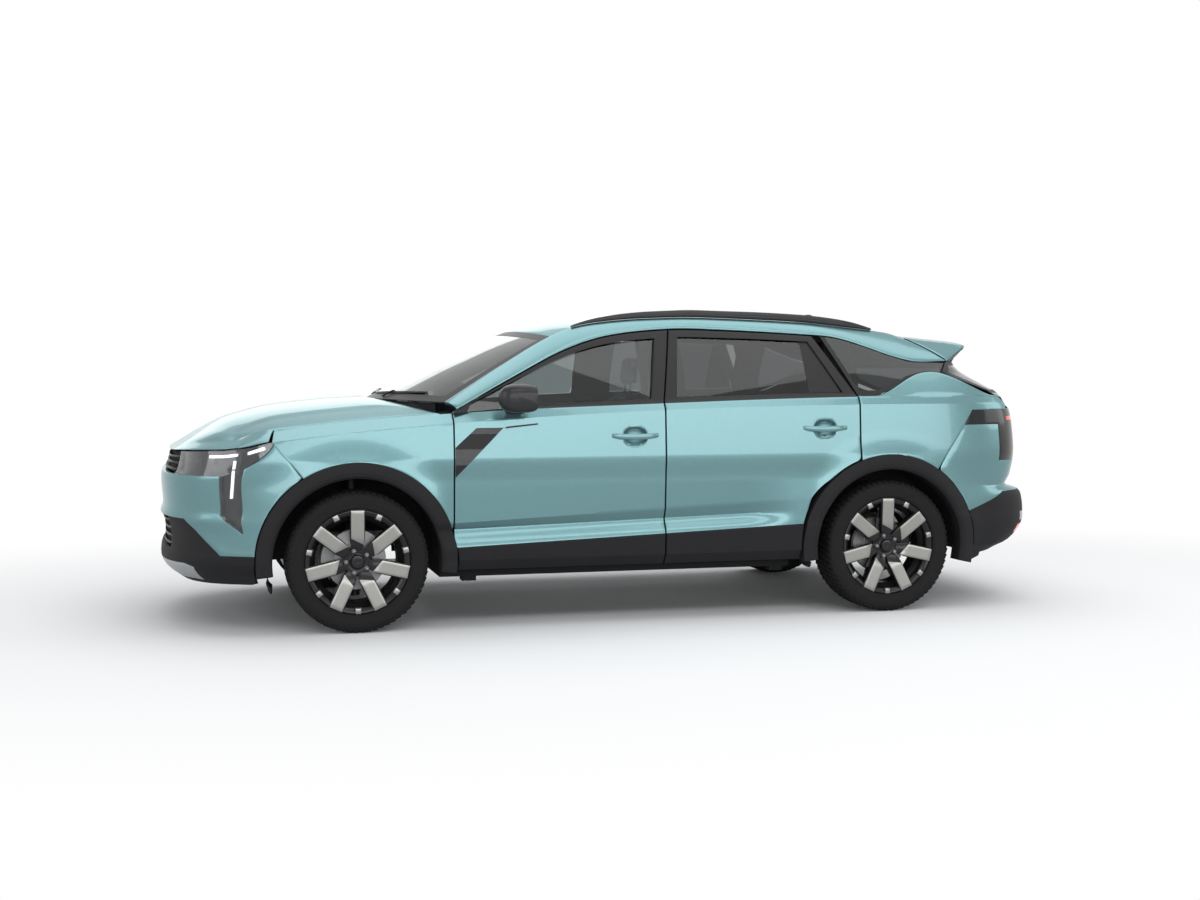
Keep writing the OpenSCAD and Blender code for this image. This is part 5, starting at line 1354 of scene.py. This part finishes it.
def rimBag(ax):
    r = rimR
    bag = Bag()
    lathe(bag, ax, [(r + 16, -96), (r + 17, -88), (r, -84), (r - 1, -84), (r - 24, -60), (r - 24, 40),
                    (r - 1, 60), (r, 84), (r + 16, 87.5), (r + 17.5, 91), (r + 16, 95), (r + 12, 96.5),
                    (r + 6, 94), (r - 3, 88), (r - 10, 80), (r - 15, 52), (r - 34, 32), (r - 34, -56),
                    (r - 15, -78), (r - 7, -92), (r + 9, -96)], 112)
    lathe(bag, ax, [(0.3, -14), (72, -14), (73, 50), (70, 62), (64, 67), (46, 68), (40, 66), (34, 68),
                    (32, 80), (29, 84), (20, 85.5), (0.3, 86)], 56)
    for k in range(wheel["spokes"]):
        turn = 2 * pi * k / wheel["spokes"]
        rings = []
        for rr in (54, 72, 100, 130, 165, 196, 214, 225, 247):
            w, h1 = np.interp(rr, [54, 100, 247], [24, 35, 37]), spokeFace(rr)
            h0 = np.interp(rr, [54, 150, 195, 214, 225, 247], [2, 14, 34, 56, 83, 88])
            ring = [(-w, h1 - 6), (-w + 1.5, h1 - 2), (-w + 5, h1), (w - 5, h1), (w - 1.5, h1 - 2),
                    (w, h1 - 6), (w - 6, h0), (-w + 6, h0)]
            rings.append([wheelPt(ax, turn, rr, t, h) for t, h in ring])
        bag.loft(rings)
        half = wheel["plateW"] / 2
        t, s = np.meshgrid(np.linspace(-half, half, 7), np.linspace(0, 1, 9))
        inEnd = mix(wheel["plateIn"][0], wheel["plateIn"][1], (t + half) / (2 * half))
        rr = mix(inEnd, wheel["plateOut"], s)
        bag.shell(wheelPt(ax, turn, rr, t, spokeFace(rr) + 2.6), wheelPt(ax, turn, rr, t, spokeFace(rr) - 1),
                  mat=1)
        turn += pi / wheel["spokes"]
        half = wheel["square"] / 2
        for grow, top, deep, m in ((5, 93, 12, 0), (0, 96.5, 4, 1)):
            t, s = np.meshgrid(np.linspace(-half - grow, half + grow, 3),
                               np.linspace(-half - grow, half + grow * 0.2, 3))
            rr = wheel["squareR"] + s
            bag.shell(wheelPt(ax, turn, rr, t, top), wheelPt(ax, turn, rr, t, top - deep), mat=m)
    d = wheel["discR"]
    lathe(bag, ax, [(56, -42), (d - 2, -42), (d, -40), (d, -34), (d - 9, -33), (d - 9, -29), (d, -28),
                    (d, -22), (d - 2, -20), (84, -20), (80, -19), (78, -6), (56, -6)], 96, 2)
    for a in np.linspace(0, 2 * pi, 36, endpoint=False):  # vanes between the two faces of the disc
        ring = [(-1.5, -28.5), (1.5, -28.5), (1.5, -33.5), (-1.5, -33.5)]
        bag.loft([[wheelPt(ax, a, rr, t, h) for t, h in ring] for rr in (d - 10, d - 1)], 2)
    return bag


def tyreBag(ax):
    r = rimR
    half = [(r + 0.6, 60), (r + 0.6, 83), (r + 17.6, 87.2), (r + 20, 95), (r + 22, 100), (r + 27, 103.5),
            (r + 30, 106.5), (r + 33, 106.5), (r + 36, 107), (285, 111.6), (291, 112), (293, 110.9),
            (296, 110.9), (298, 111.6), (306, 110.3), (315, 107.2), (321, 102.8), (324, 103), (327, 98),
            (328, 92), (wheel["treadR"], 78)]
    inside = [(318, 84), (306, 96), (285, 100), (r + 30, 92), (r + 14, 80)]
    outer = [(p, -h) for p, h in half] + [(wheel["treadR"] + 0.4, -40), (wheel["treadR"] + 0.6, 0),
                                          (wheel["treadR"] + 0.4, 40)] + half[::-1]
    inner = [(p, h) for p, h in inside[::-1]] + [(p, -h) for p, h in inside]
    return lathe(Bag(), ax, outer + inner, 120)


def treadTree():
    g = GeoTree("treadBlocks", [("Centre", "Vector", None), ("Count", "Int", 66),
                                ("Tread Radius", "Float", 0.328), ("Block Height", "Float", 0.007)])
    count, radius = g.given("Count"), g.given("Tread Radius")
    parts = []
    rows = ((-0.079, 0.03, 0.13, 0.0), (-0.043, 0.031, 0.0, 0.3), (0.0, 0.034, 0.0, -0.3),
            (0.043, 0.031, 0.0, 0.3), (0.079, 0.03, -0.13, 0.0))
    for k, (along, wide, tilt, slant) in enumerate(rows):
        long = g.maths("MULTIPLY", g.maths("DIVIDE", radius, count), 2 * pi * (0.74 if slant else 0.8))
        size = g.node("ShaderNodeCombineXYZ", {}, {0: g.maths("MULTIPLY", g.given("Block Height"), 1.7),
                                                   1: long, 2: wide})
        block = g.node("GeometryNodeMeshCube", {}, {"Size": size})
        up = g.maths("ADD", radius, g.maths("MULTIPLY", g.given("Block Height"), 0.07 if slant else -0.08))
        parts.append(g.ring(count, up, block, along, tilt, slant, 0.024 * k))
    lug = g.node("GeometryNodeMeshCube", {}, {"Size": (0.014, 0.011, 0.016)})
    for along, tilt in ((-0.0985, 0.75), (0.0985, -0.75)):
        parts.append(g.ring(count, g.maths("SUBTRACT", radius, 0.0055), lug, along, tilt, 0.0, 0.02))
    return g.finish(parts)


def nutTree():
    g = GeoTree("wheelNuts", [("Centre", "Vector", None), ("Count", "Int", 5),
                              ("Ring Radius", "Float", 0.054), ("Nut Radius", "Float", 0.0105)])
    radius = g.given("Nut Radius")
    flats = g.node("GeometryNodeMeshCylinder", {}, {"Vertices": 6, "Radius": radius, "Depth": 0.018})
    wide = g.maths("MULTIPLY", radius, 1.25)
    collar = g.node("GeometryNodeMeshCylinder", {}, {"Vertices": 24, "Radius": wide, "Depth": 0.005})
    tip = g.maths("MULTIPLY", radius, 0.8)
    dome = g.node("GeometryNodeMeshCone", {}, {"Vertices": 18, "Radius Top": 0.004, "Radius Bottom": tip,
                                               "Depth": 0.006})
    shapes = ((flats, 0.004), (collar, -0.004), (dome, 0.015))
    return g.finish([g.ring(g.given("Count"), g.given("Ring Radius"), shape, along)
                     for shape, along in shapes])


treadBlocks, wheelNuts = treadTree(), nutTree()
for place, ax in (("front", xf), ("rear", xr)):
    for side, sign in (("left", 1), ("right", -1)):
        rides, label = "wheel_%s_%s" % (place, side), place.capitalize() + side.capitalize()
        rim, tyre = rimBag(ax), tyreBag(ax)
        if sign < 0:
            rim, tyre = rim.flipped(), tyre.flipped()
        rim.piece("rim" + label, [rimBlack, plateSilver, discSteel], rides, ["rim_%s_%s" % (place, side)],
                  "wheel_alloy", 0.7, 30)
        tyre.piece("tyre" + label, [tyreMat], rides, ["tyre_%s_%s" % (place, side)], "tyre_rubber", 0, 30)
        centre = ((ax + midX) * mm, wheelY * mm, wheelZ * mm)
        tread = runTree(treadBlocks, bpy.data.meshes.new("tread"), "tread" + label,
                        {"Centre": centre, "Count": wheel["treadCount"], "Tread Radius": wheel["treadR"] * mm,
                         "Block Height": wheel["treadDeep"] * mm, "Finish": tyreMat})
        nuts = runTree(wheelNuts, bpy.data.meshes.new("nuts"), "nuts" + label,
                       {"Centre": (centre[0], centre[1] + 0.067, centre[2]), "Count": wheel["nuts"],
                        "Ring Radius": wheel["nutRing"] * mm, "Nut Radius": wheel["nutR"] * mm,
                        "Finish": bareSteel})
        for obj, name in ((tread, "tyre_rubber"), (nuts, "bare_steel")):
            if sign < 0:
                obj.data.transform(Matrix.Scale(-1, 4, (0, 1, 0)))
                obj.data.flip_normals()
            shade(obj.data, 30)
            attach(obj, rides)
print("wheels made")


# seats: each pad is a rounded shape that is swelled as cloth, then sewn along its channels
seat = {"y": 370, "voxel": 0.009, "pressure": 4, "cap": 0.012, "frames": 20, "seamDeep": 6, "seamWide": 9,
        "frontWide": 232, "benchY": 287, "benchWide": 280}


def oval(c, a, b, p, n=40):  # a rounded box section, a and b are its half sizes as vectors
    t = np.linspace(0, 2 * pi, n, endpoint=False)
    ca, sa = signedPower(np.cos(t), p), signedPower(np.sin(t), p)
    return np.array(c, float) + ca[:, None] * np.array(a, float) + sa[:, None] * np.array(b, float)


def endScale(t, p=5):
    return (1 - abs(t) ** p) ** (1 / p) * 0.75 + 0.25


def cushionBag(x0, x1, y, z0, z1, wide, bolster, lift):
    rings = []
    for t in np.linspace(-0.985, 0.985, 25):
        x = mix(x0, x1, (t + 1) / 2)
        s = endScale(t)
        r = oval((x, y, (z0 + z1) / 2), (0, wide * (0.94 + 0.06 * s), 0), (0, 0, (z1 - z0) / 2 * s), 0.32, 72)
        d = abs(r[:, 1] - y) / wide
        high = r[:, 2] > (z0 + z1) / 2
        r[:, 2] += np.where(high, bolster * ease((d - 0.55) / 0.35) + lift * ease((t + 0.2) / 1.1)
                            - 8 * (1 - d * d), 0)
        rings.append(r)
    return Bag().loft(rings)


def backBag(low, high, y, wideLow, wideHigh, bolster):  # low and high give front x, rear x and z
    rings = []
    for t in np.linspace(-0.985, 0.985, 31):
        f = (t + 1) / 2
        s = endScale(t, 7)
        front, rear, z = [mix(low[k], high[k], f) for k in range(3)]
        wide = mix(wideLow, wideHigh, f ** 2.2) * (0.9 + 0.1 * s)
        r = oval(((front + rear) / 2, y, z), ((front - rear) / 2 * s, 0, 0), (0, wide, 0), 0.34, 72)
        d = abs(r[:, 1] - y) / wide
        r[:, 0] += np.where(r[:, 0] > (front + rear) / 2, bolster * ease((d - 0.5) / 0.4) * (1 - 0.6 * f)
                            + 9 * sin(pi * f) - 6, 0)
        rings.append(r)
    return Bag().loft(rings)


def headrestBag(y):
    rings = []
    for t in np.linspace(-0.98, 0.98, 19):
        f, s = (t + 1) / 2, endScale(t, 4)
        rings.append(oval((mix(-318, -332, f), y, mix(1152, 1300, f)), (30 * s, 0, 0),
                          (0, (104 - 8 * f) * (0.75 + 0.25 * s), 0), 0.45, 48))
    return Bag().loft(rings)


def swell(name, bag):
    mesh = bpy.data.meshes.new(name)
    mesh.from_pydata(((np.concatenate(bag.verts) + [midX, 0, 0]) * mm).tolist(), [], bag.faces)
    obj = bpy.data.objects.new(name, mesh)
    bpy.context.scene.collection.objects.link(obj)
    remesh = obj.modifiers.new("even", "REMESH")
    remesh.mode, remesh.voxel_size = "VOXEL", seat["voxel"]
    bakeModifiers(obj)
    n = len(obj.data.vertices)
    rest = np.zeros(n * 3)
    obj.data.vertices.foreach_get("co", rest)
    sim = obj.modifiers.new("swell", "CLOTH")
    sim.settings.use_pressure, sim.settings.uniform_pressure_force = True, seat["pressure"]
    sim.settings.effector_weights.gravity = 0
    sim.settings.quality = 4
    sim.point_cache.frame_start, sim.point_cache.frame_end = 1, seat["frames"]
    for f in range(1, seat["frames"] + 1):
        bpy.context.scene.frame_set(f)
    full = np.zeros(n * 3)
    obj.evaluated_get(bpy.context.evaluated_depsgraph_get()).data.vertices.foreach_get("co", full)
    obj.modifiers.remove(sim)
    bpy.context.scene.frame_set(1)
    move = (full - rest).reshape(-1, 3)
    far = np.linalg.norm(move, axis=1, keepdims=True)
    rest = rest + (move * np.minimum(1, seat["cap"] / np.maximum(far, 1e-9))).ravel()
    obj.data.vertices.foreach_set("co", rest)
    return obj


def sew(obj, lines):  # each line gives how far a point lies from a sewn channel, in millimetres
    n = len(obj.data.vertices)
    co, no = np.zeros(n * 3), np.zeros(n * 3)
    obj.data.vertices.foreach_get("co", co)
    obj.data.vertex_normals.foreach_get("vector", no)
    co, no = co.reshape(-1, 3), no.reshape(-1, 3)
    at = co * 1000 - [midX, 0, 0]
    deep = np.zeros(n)
    for line in lines:
        deep = np.maximum(deep, np.exp(-(line(at, no) / seat["seamWide"]) ** 2))
    obj.data.vertices.foreach_set("co", (co - no * (deep * seat["seamDeep"] * mm)[:, None]).ravel())
    return obj


def clothPiece(obj, mats, pick):  # pick says which faces take the second cloth
    for m in mats:
        obj.data.materials.append(m)
    n = len(obj.data.polygons)
    mid = np.zeros(n * 3)
    obj.data.polygons.foreach_get("center", mid)
    obj.data.polygons.foreach_set("material_index",
                                  pick(mid.reshape(-1, 3) * 1000 - [midX, 0, 0]).astype(np.int32))
    shade(obj.data, 60)
    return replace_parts(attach(obj, "body"), "seats")


def otherSide(obj, name):
    mesh = obj.data.copy()
    mesh.transform(Matrix.Scale(-1, 4, (0, 1, 0)))
    mesh.flip_normals()
    other = bpy.data.objects.new(name, mesh)
    bpy.context.scene.collection.objects.link(other)
    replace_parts(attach(other, "body"), "seats")


def upward(n):  # seams stay on the faces that look up
    return np.where(n[:, 2] > 0.3, 0, 99)


def forward(n):
    return np.where(n[:, 0] > 0.2, 0, 99)


def seamAlong(y, off, face):  # two seams beside the pad's middle
    return lambda p, n: abs(abs(p[:, 1] - y) - off) + face(n)


def seamAcross(axis, at, face=None, y=0, half=9999):  # a seam over the pad's middle panel
    return lambda p, n: abs(p[:, axis] - at) + (face(n) if face else 0) + 99 * (abs(p[:, 1] - y) > half)


y0, y1 = seat["y"], seat["benchY"]
w, bw = seat["frontWide"], seat["benchWide"]
sitHalf, backHalf = 138, 132  # half widths of the middle panels
pads = [("frontCushion", cushionBag(-142, 314, y0, 452, 540, w, 18, 10),
         [seamAlong(y0, sitHalf, upward), seamAcross(0, 190, upward, y0, sitHalf),
          seamAcross(0, 20, upward, y0, sitHalf), seamAcross(2, 500)],
         lambda m: abs(m[:, 1] - y0) > sitHalf),
        ("frontBack", backBag((-76, -168, 492), (-284, -340, 1116), y0, w, 196, 26),
         [seamAlong(y0, backHalf, forward), seamAcross(2, 860, forward, y0, backHalf),
          seamAcross(2, 660, forward, y0, backHalf)],
         lambda m: (abs(m[:, 1] - y0) > backHalf) | (m[:, 0] < mix(-130, -318, (m[:, 2] - 492) / 624))),
        ("frontHeadrest", headrestBag(y0), [seamAcross(0, -322)], lambda m: m[:, 0] < -322),
        ("benchCushion", cushionBag(-934, -496, y1, 447, 542, bw, 10, 6),
         [seamAlong(y1, 170, upward), seamAcross(0, -620, upward), seamAcross(2, 500)],
         lambda m: m[:, 2] < 500),
        ("benchBack", backBag((-884, -996, 466), (-1074, -1138, 1058), y1 - 12, bw - 12, 236, 12),
         [seamAlong(y1, 160, forward), seamAcross(2, 900, forward)],
         lambda m: m[:, 0] < mix(-950, -1112, (m[:, 2] - 466) / 592))]
for name, bag, lines, pick in pads:
    obj = clothPiece(sew(swell(name + "Left", bag), lines), [cloth, clothDark], pick)
    otherSide(obj, name + "Right")
print("seats made")

# seat frames, headrest posts
frames = Bag()
for y in (y0, -y0):
    for dy in (-170, 170):
        rings = [oval((x, y + dy, z), (0, 16, 0), (0, 0, h), 0.4, 20)
                 for x, z, h in ((-118, 276, 15), (-60, 278, 16), (220, 278, 16), (258, 276, 15))]
        frames.loft(rings)
        rings = [oval((x, y + dy, 360), (0, 12, 0), (0, 0, h), 0.4, 20)
                 for x, h in ((-112, 80), (-60, 86), (150, 86), (244, 60))]
        frames.loft(rings)
    frames.loft([oval((x, y, 428), (0, 186, 0), (0, 0, 17), 0.3, 28) for x in (-116, -60, 60, 180, 252)])
    for dy in (-52, 52):
        frames.loft([oval((mix(-308, -322, f), y + dy, mix(1096, 1172, f)), (5.5, 0, 0), (0, 5.5, 0), 1, 16)
                     for f in (0, 0.5, 1)], mat=1)
frames.loft([oval((x, 0, 352), (0, 540, 0), (0, 0, 88), 0.3, 40) for x in (-836, -760, -600, -524)])
frames.piece("seatFrames", [dashSkin, bareSteel], slot="bare_steel", bevel=2)

# finishes of the solids that stay as they are
solidFinish = {"floor_pan": underCoat, "body_sides": underCoat, "wheel_liners": linerPlastic,
               "cowl": cladding, "engine": castGrey, "front_suspension": darkCast, "rear_axle": darkCast,
               "exhaust": pipeSteel, "knuckle_left": castGrey, "knuckle_right": castGrey,
               "dashboard": dashSkin}
for name, mat in solidFinish.items():
    mesh = frame["nodes"][name].data
    for k in range(len(mesh.materials)):
        mesh.materials[k] = mat
print("cabin made")


# door mirrors: side step, half length, half height, shift back, shift up
mirror = {"rows": [(20, 40, 11, 0, 8), (36, 52, 20, -2, 22), (50, 76, 40, -5, 54), (64, 90, 56, -8, 70),
                   (84, 98, 66, -10, 76), (104, 101, 69, -12, 79), (126, 98, 68, -16, 80),
                   (144, 90, 62, -24, 80), (157, 76, 52, -33, 80), (165, 54, 38, -41, 80)], "flat": -84}
mx = mix(float(doorFrontX(np.array(1050.0))), splitX + gap / 2, 0.275)
mz = float(shoulderZ(np.array(mx)) + beltZ(np.array(mx))) / 2
my = float(sideY(np.array(mx), np.array(mz)))
rows = np.array(mirror["rows"], float)
f = np.linspace(0, len(rows) - 1, 40)
rows = np.stack([curve(f, list(enumerate(rows[:, k]))) for k in range(5)], -1)
rings = np.array([oval((mx + dx, my + out, mz + dz), (hx, 0, 0), (0, 0, -hz), 0.72, 48)
                  for out, hx, hz, dx, dz in rows])
rings[0, :, 1] -= 14
rings[..., 0] = np.maximum(rings[..., 0], mx + mirror["flat"])
for side, flip in sides:
    bag = Bag().loft(rings)
    c = (mx + mirror["flat"] - 1.2, my + 104, mz + 79)
    plate = [oval((c[0] + dx, c[1], c[2]), (0, 0, 46 * k), (0, 48 * k, 0), 0.6, 40)
             for dx, k in ((2, 1), (-0.8, 1), (-1.2, 0.97), (-1.2, 0.05))]
    bag.loft(plate, mat=1)
    (bag.flipped() if flip else bag).piece("mirror" + side.capitalize(), [satinBlack, mirrorGlass],
                                           "door_front_" + side, ["mirror_" + side], "black_plastic", 0, 38)

# roof fin, wipers, flaps ahead of the wheels
fin = {"x": xr + 130, "long": 84, "wide": 24, "high": 52}
finZ = float(curve(np.array(fin["x"]), cantTop)) + 33
rings = []
for t in np.linspace(0, 1, 12):
    k = (1 - t) ** 0.55 * 0.9 + 0.1
    rings.append(oval((fin["x"] - 42 * t ** 1.4, 0, finZ + fin["high"] * t), (fin["long"] * k, 0, 0),
                      (0, fin["wide"] * (1 - t) ** 1.3 + 3, 0), 0.95, 32))
Bag().loft(rings).piece("roofFin", [satinBlack], slot="black_plastic")


def screenPt(i, v, up):
    p, tt, qq = cantAt(np.asarray(i, float), 1), np.asarray(i, float) / headerI, 1 - np.asarray(v, float) ** 2
    return np.stack([p[..., 0] + mix(*pane["ahead"], tt) * qq, v * (p[..., 1] - 2), p[..., 2] - 2
                     + mix(*pane["up"], tt) * qq + pane["belly"] * tt * (1 - tt) * qq + up], -1)


wiper = {"blades": [((0.62, 0.76), (0.36, 0.02)), ((0.36, -0.06), (0.62, -0.74))],
         "pivots": [(0.12, 0.34), (0.12, -0.4)]}
bag = Bag()
for (a, b), (pi0, pv0) in zip(wiper["blades"], wiper["pivots"]):
    t = np.linspace(0, 1, 24)
    line = screenPt(mix(a[0], b[0], t), mix(a[1], b[1], t), 0)
    for low, high, wide in ((1, 6, 2.5), (5, 10, 6)):
        ring = np.array([(-wide, low), (wide, low), (wide * 0.6, high), (-wide * 0.6, high)])
        d = np.gradient(line, axis=0)
        across = np.cross(d, [0, 0, 1])
        across /= np.linalg.norm(across, axis=1, keepdims=True)
        loop = line[:, None] + across[:, None] * ring[None, :, :1] + np.array([0, 0, 1]) * ring[None, :, 1:]
        bag.loft(loop[:, ::-1])
    mid = screenPt(mix(a[0], b[0], 0.5), mix(a[1], b[1], 0.5), 12)
    foot = screenPt(pi0, pv0, 6)
    arm = [mix(foot, mid, k) + np.array([0, 0, 3 * sin(pi * k)]) for k in np.linspace(0, 1, 10)]
    rise = -4 if mid[1] > foot[1] else 4
    bag.loft([oval(p, (6, 0, 0), (0, 0, rise), 0.6, 12) for p in arm])
bag.piece("wipers", [satinBlack], slot="black_plastic", bevel=0.6)

flap = {"drop": 62, "thick": 5, "y": (690, 858), "x": {"front": xf + 424, "rear": xr + 434}}
bag = Bag()
for key, x in flap["x"].items():
    t, s = np.meshgrid(np.linspace(1, 0, 12), np.linspace(0, 1, 6))
    y = mix(flap["y"][0], flap["y"][1], t)
    top = 250 if key == "front" else sillZ + 12
    z = top - flap["drop"] * s * (1 - 0.5 * (2 * t - 1) ** 6)
    front = np.stack([x - 20 * s ** 2 - 14 * (1 - t), y, z], -1)
    bag.shell(front, front - [flap["thick"], 0, 0])
bag.mirrored().piece("wheelFlaps", [cladding], slot="black_plastic", bevel=1)
print("trim made")


# floor, light and camera
stage = {"floor": (0.86, 0.87, 0.88), "reach": 60, "sky": (0.93, 0.96, 1.0, 1), "skyPower": 0.22,
         "camera": (2.1391, 8.3613, 1.2529), "turn": 0.2567, "tilt": 0.0524, "focalPx": 1591.98,
         "imageW": 1200}
floorMesh = bpy.data.meshes.new("studioFloor")
reach = stage["reach"]
floorMesh.from_pydata([(-reach, -reach, 0), (reach, -reach, 0), (reach, reach, 0), (-reach, reach, 0)], [],
                      [(0, 1, 2, 3)])
floor = bpy.data.objects.new("studioFloor", floorMesh)
bpy.context.scene.collection.objects.link(floor)
ground = Finish("studioGround", stage["floor"], 0.9)
ray = ground.node("ShaderNodeLightPath", {}, {})
white = ground.node("ShaderNodeEmission", {}, {"Color": (1, 1, 1, 1), "Strength": 1.0})
far = ground.node("ShaderNodeVectorMath", {"operation": "LENGTH"},
                  {0: ground.place((0.42, 0.62, 1))}).out("Value")
fade = ground.node("ShaderNodeMapRange", {"interpolation_type": "SMOOTHSTEP"},
                   {"Value": far, "From Min": 0.8, "From Max": 2.6}).out(0)
seen = ray.out("Is Camera Ray") + ray.out("Is Glossy Ray") + ray.out("Is Transmission Ray")
blendNode = ground.node("ShaderNodeMixShader", {}, {0: fade * seen, 1: Sock(ground, ground.bsdf.outputs[0]),
                                                    2: white.out(0)})
ground.links.new(blendNode.node.outputs[0], ground.nodes["Material Output"].inputs[0])
floorMesh.materials.append(ground.mat)

world = bpy.data.worlds.new("studio")
bpy.context.scene.world = world
world.use_nodes = True
wn, wl = world.node_tree.nodes, world.node_tree.links
sky = wn["Background"]
sky.inputs[0].default_value, sky.inputs[1].default_value = stage["sky"], stage["skyPower"]
plain = wn.new("ShaderNodeBackground")
plain.inputs[0].default_value, plain.inputs[1].default_value = (1, 1, 1, 1), 1.0
path, either = wn.new("ShaderNodeLightPath"), wn.new("ShaderNodeMixShader")
sees = path.outputs["Is Camera Ray"]
for kind in ("Is Glossy Ray", "Is Transmission Ray"):
    more = wn.new("ShaderNodeMath")
    more.operation, more.use_clamp = "ADD", True
    wl.new(sees, more.inputs[0])
    wl.new(path.outputs[kind], more.inputs[1])
    sees = more.outputs[0]
wl.new(sees, either.inputs[0])
wl.new(sky.outputs[0], either.inputs[1])
wl.new(plain.outputs[0], either.inputs[2])
wl.new(either.outputs[0], wn["World Output"].inputs[0])


def softLight(name, at, target, size, power, color=(1, 1, 1)):
    data = bpy.data.lights.new(name, "AREA")
    data.shape, data.size, data.size_y, data.energy, data.color = "RECTANGLE", size[0], size[1], power, color
    light = bpy.data.objects.new(name, data)
    bpy.context.scene.collection.objects.link(light)
    light.location = at
    light.rotation_euler = (Vector(target) - Vector(at)).to_track_quat("-Z", "Y").to_euler()


softLight("overhead", (-0.6, -0.4, 6.0), (-0.2, 0, 0), (10, 6), 330)
softLight("highSide", (0, 7.4, 6.4), (0, 0, 0.6), (12, 2.4), 240)
softLight("sideFill", (0, 9.6, 2.1), (0, 0, 1.3), (15, 2.2), 350)
softLight("noseLight", (7.5, 2.5, 2.6), (1.8, 0, 0.7), (4, 3), 80)
softLight("tailLight", (-7.5, 1.5, 2.8), (-1.8, 0, 0.8), (4, 3), 70)
softLight("farSide", (0, -8, 3.2), (0, 0, 0.7), (9, 3), 110)

camData = bpy.data.cameras.new("photoCamera")
camData.sensor_width, camData.sensor_fit = 36, "HORIZONTAL"
camData.lens = stage["focalPx"] / stage["imageW"] * camData.sensor_width
camData.clip_end = 300
cam = bpy.data.objects.new("photoCamera", camData)
bpy.context.scene.collection.objects.link(cam)
cam.location = (stage["camera"][0] + midX * mm, stage["camera"][1], stage["camera"][2])
aim = Vector((-sin(stage["turn"]) * cos(stage["tilt"]), -cos(stage["turn"]) * cos(stage["tilt"]),
              -sin(stage["tilt"])))
cam.rotation_euler = aim.to_track_quat("-Z", "Y").to_euler()
bpy.context.scene.camera = cam
bpy.context.scene.view_settings.view_transform = "Standard"
print("stage set")
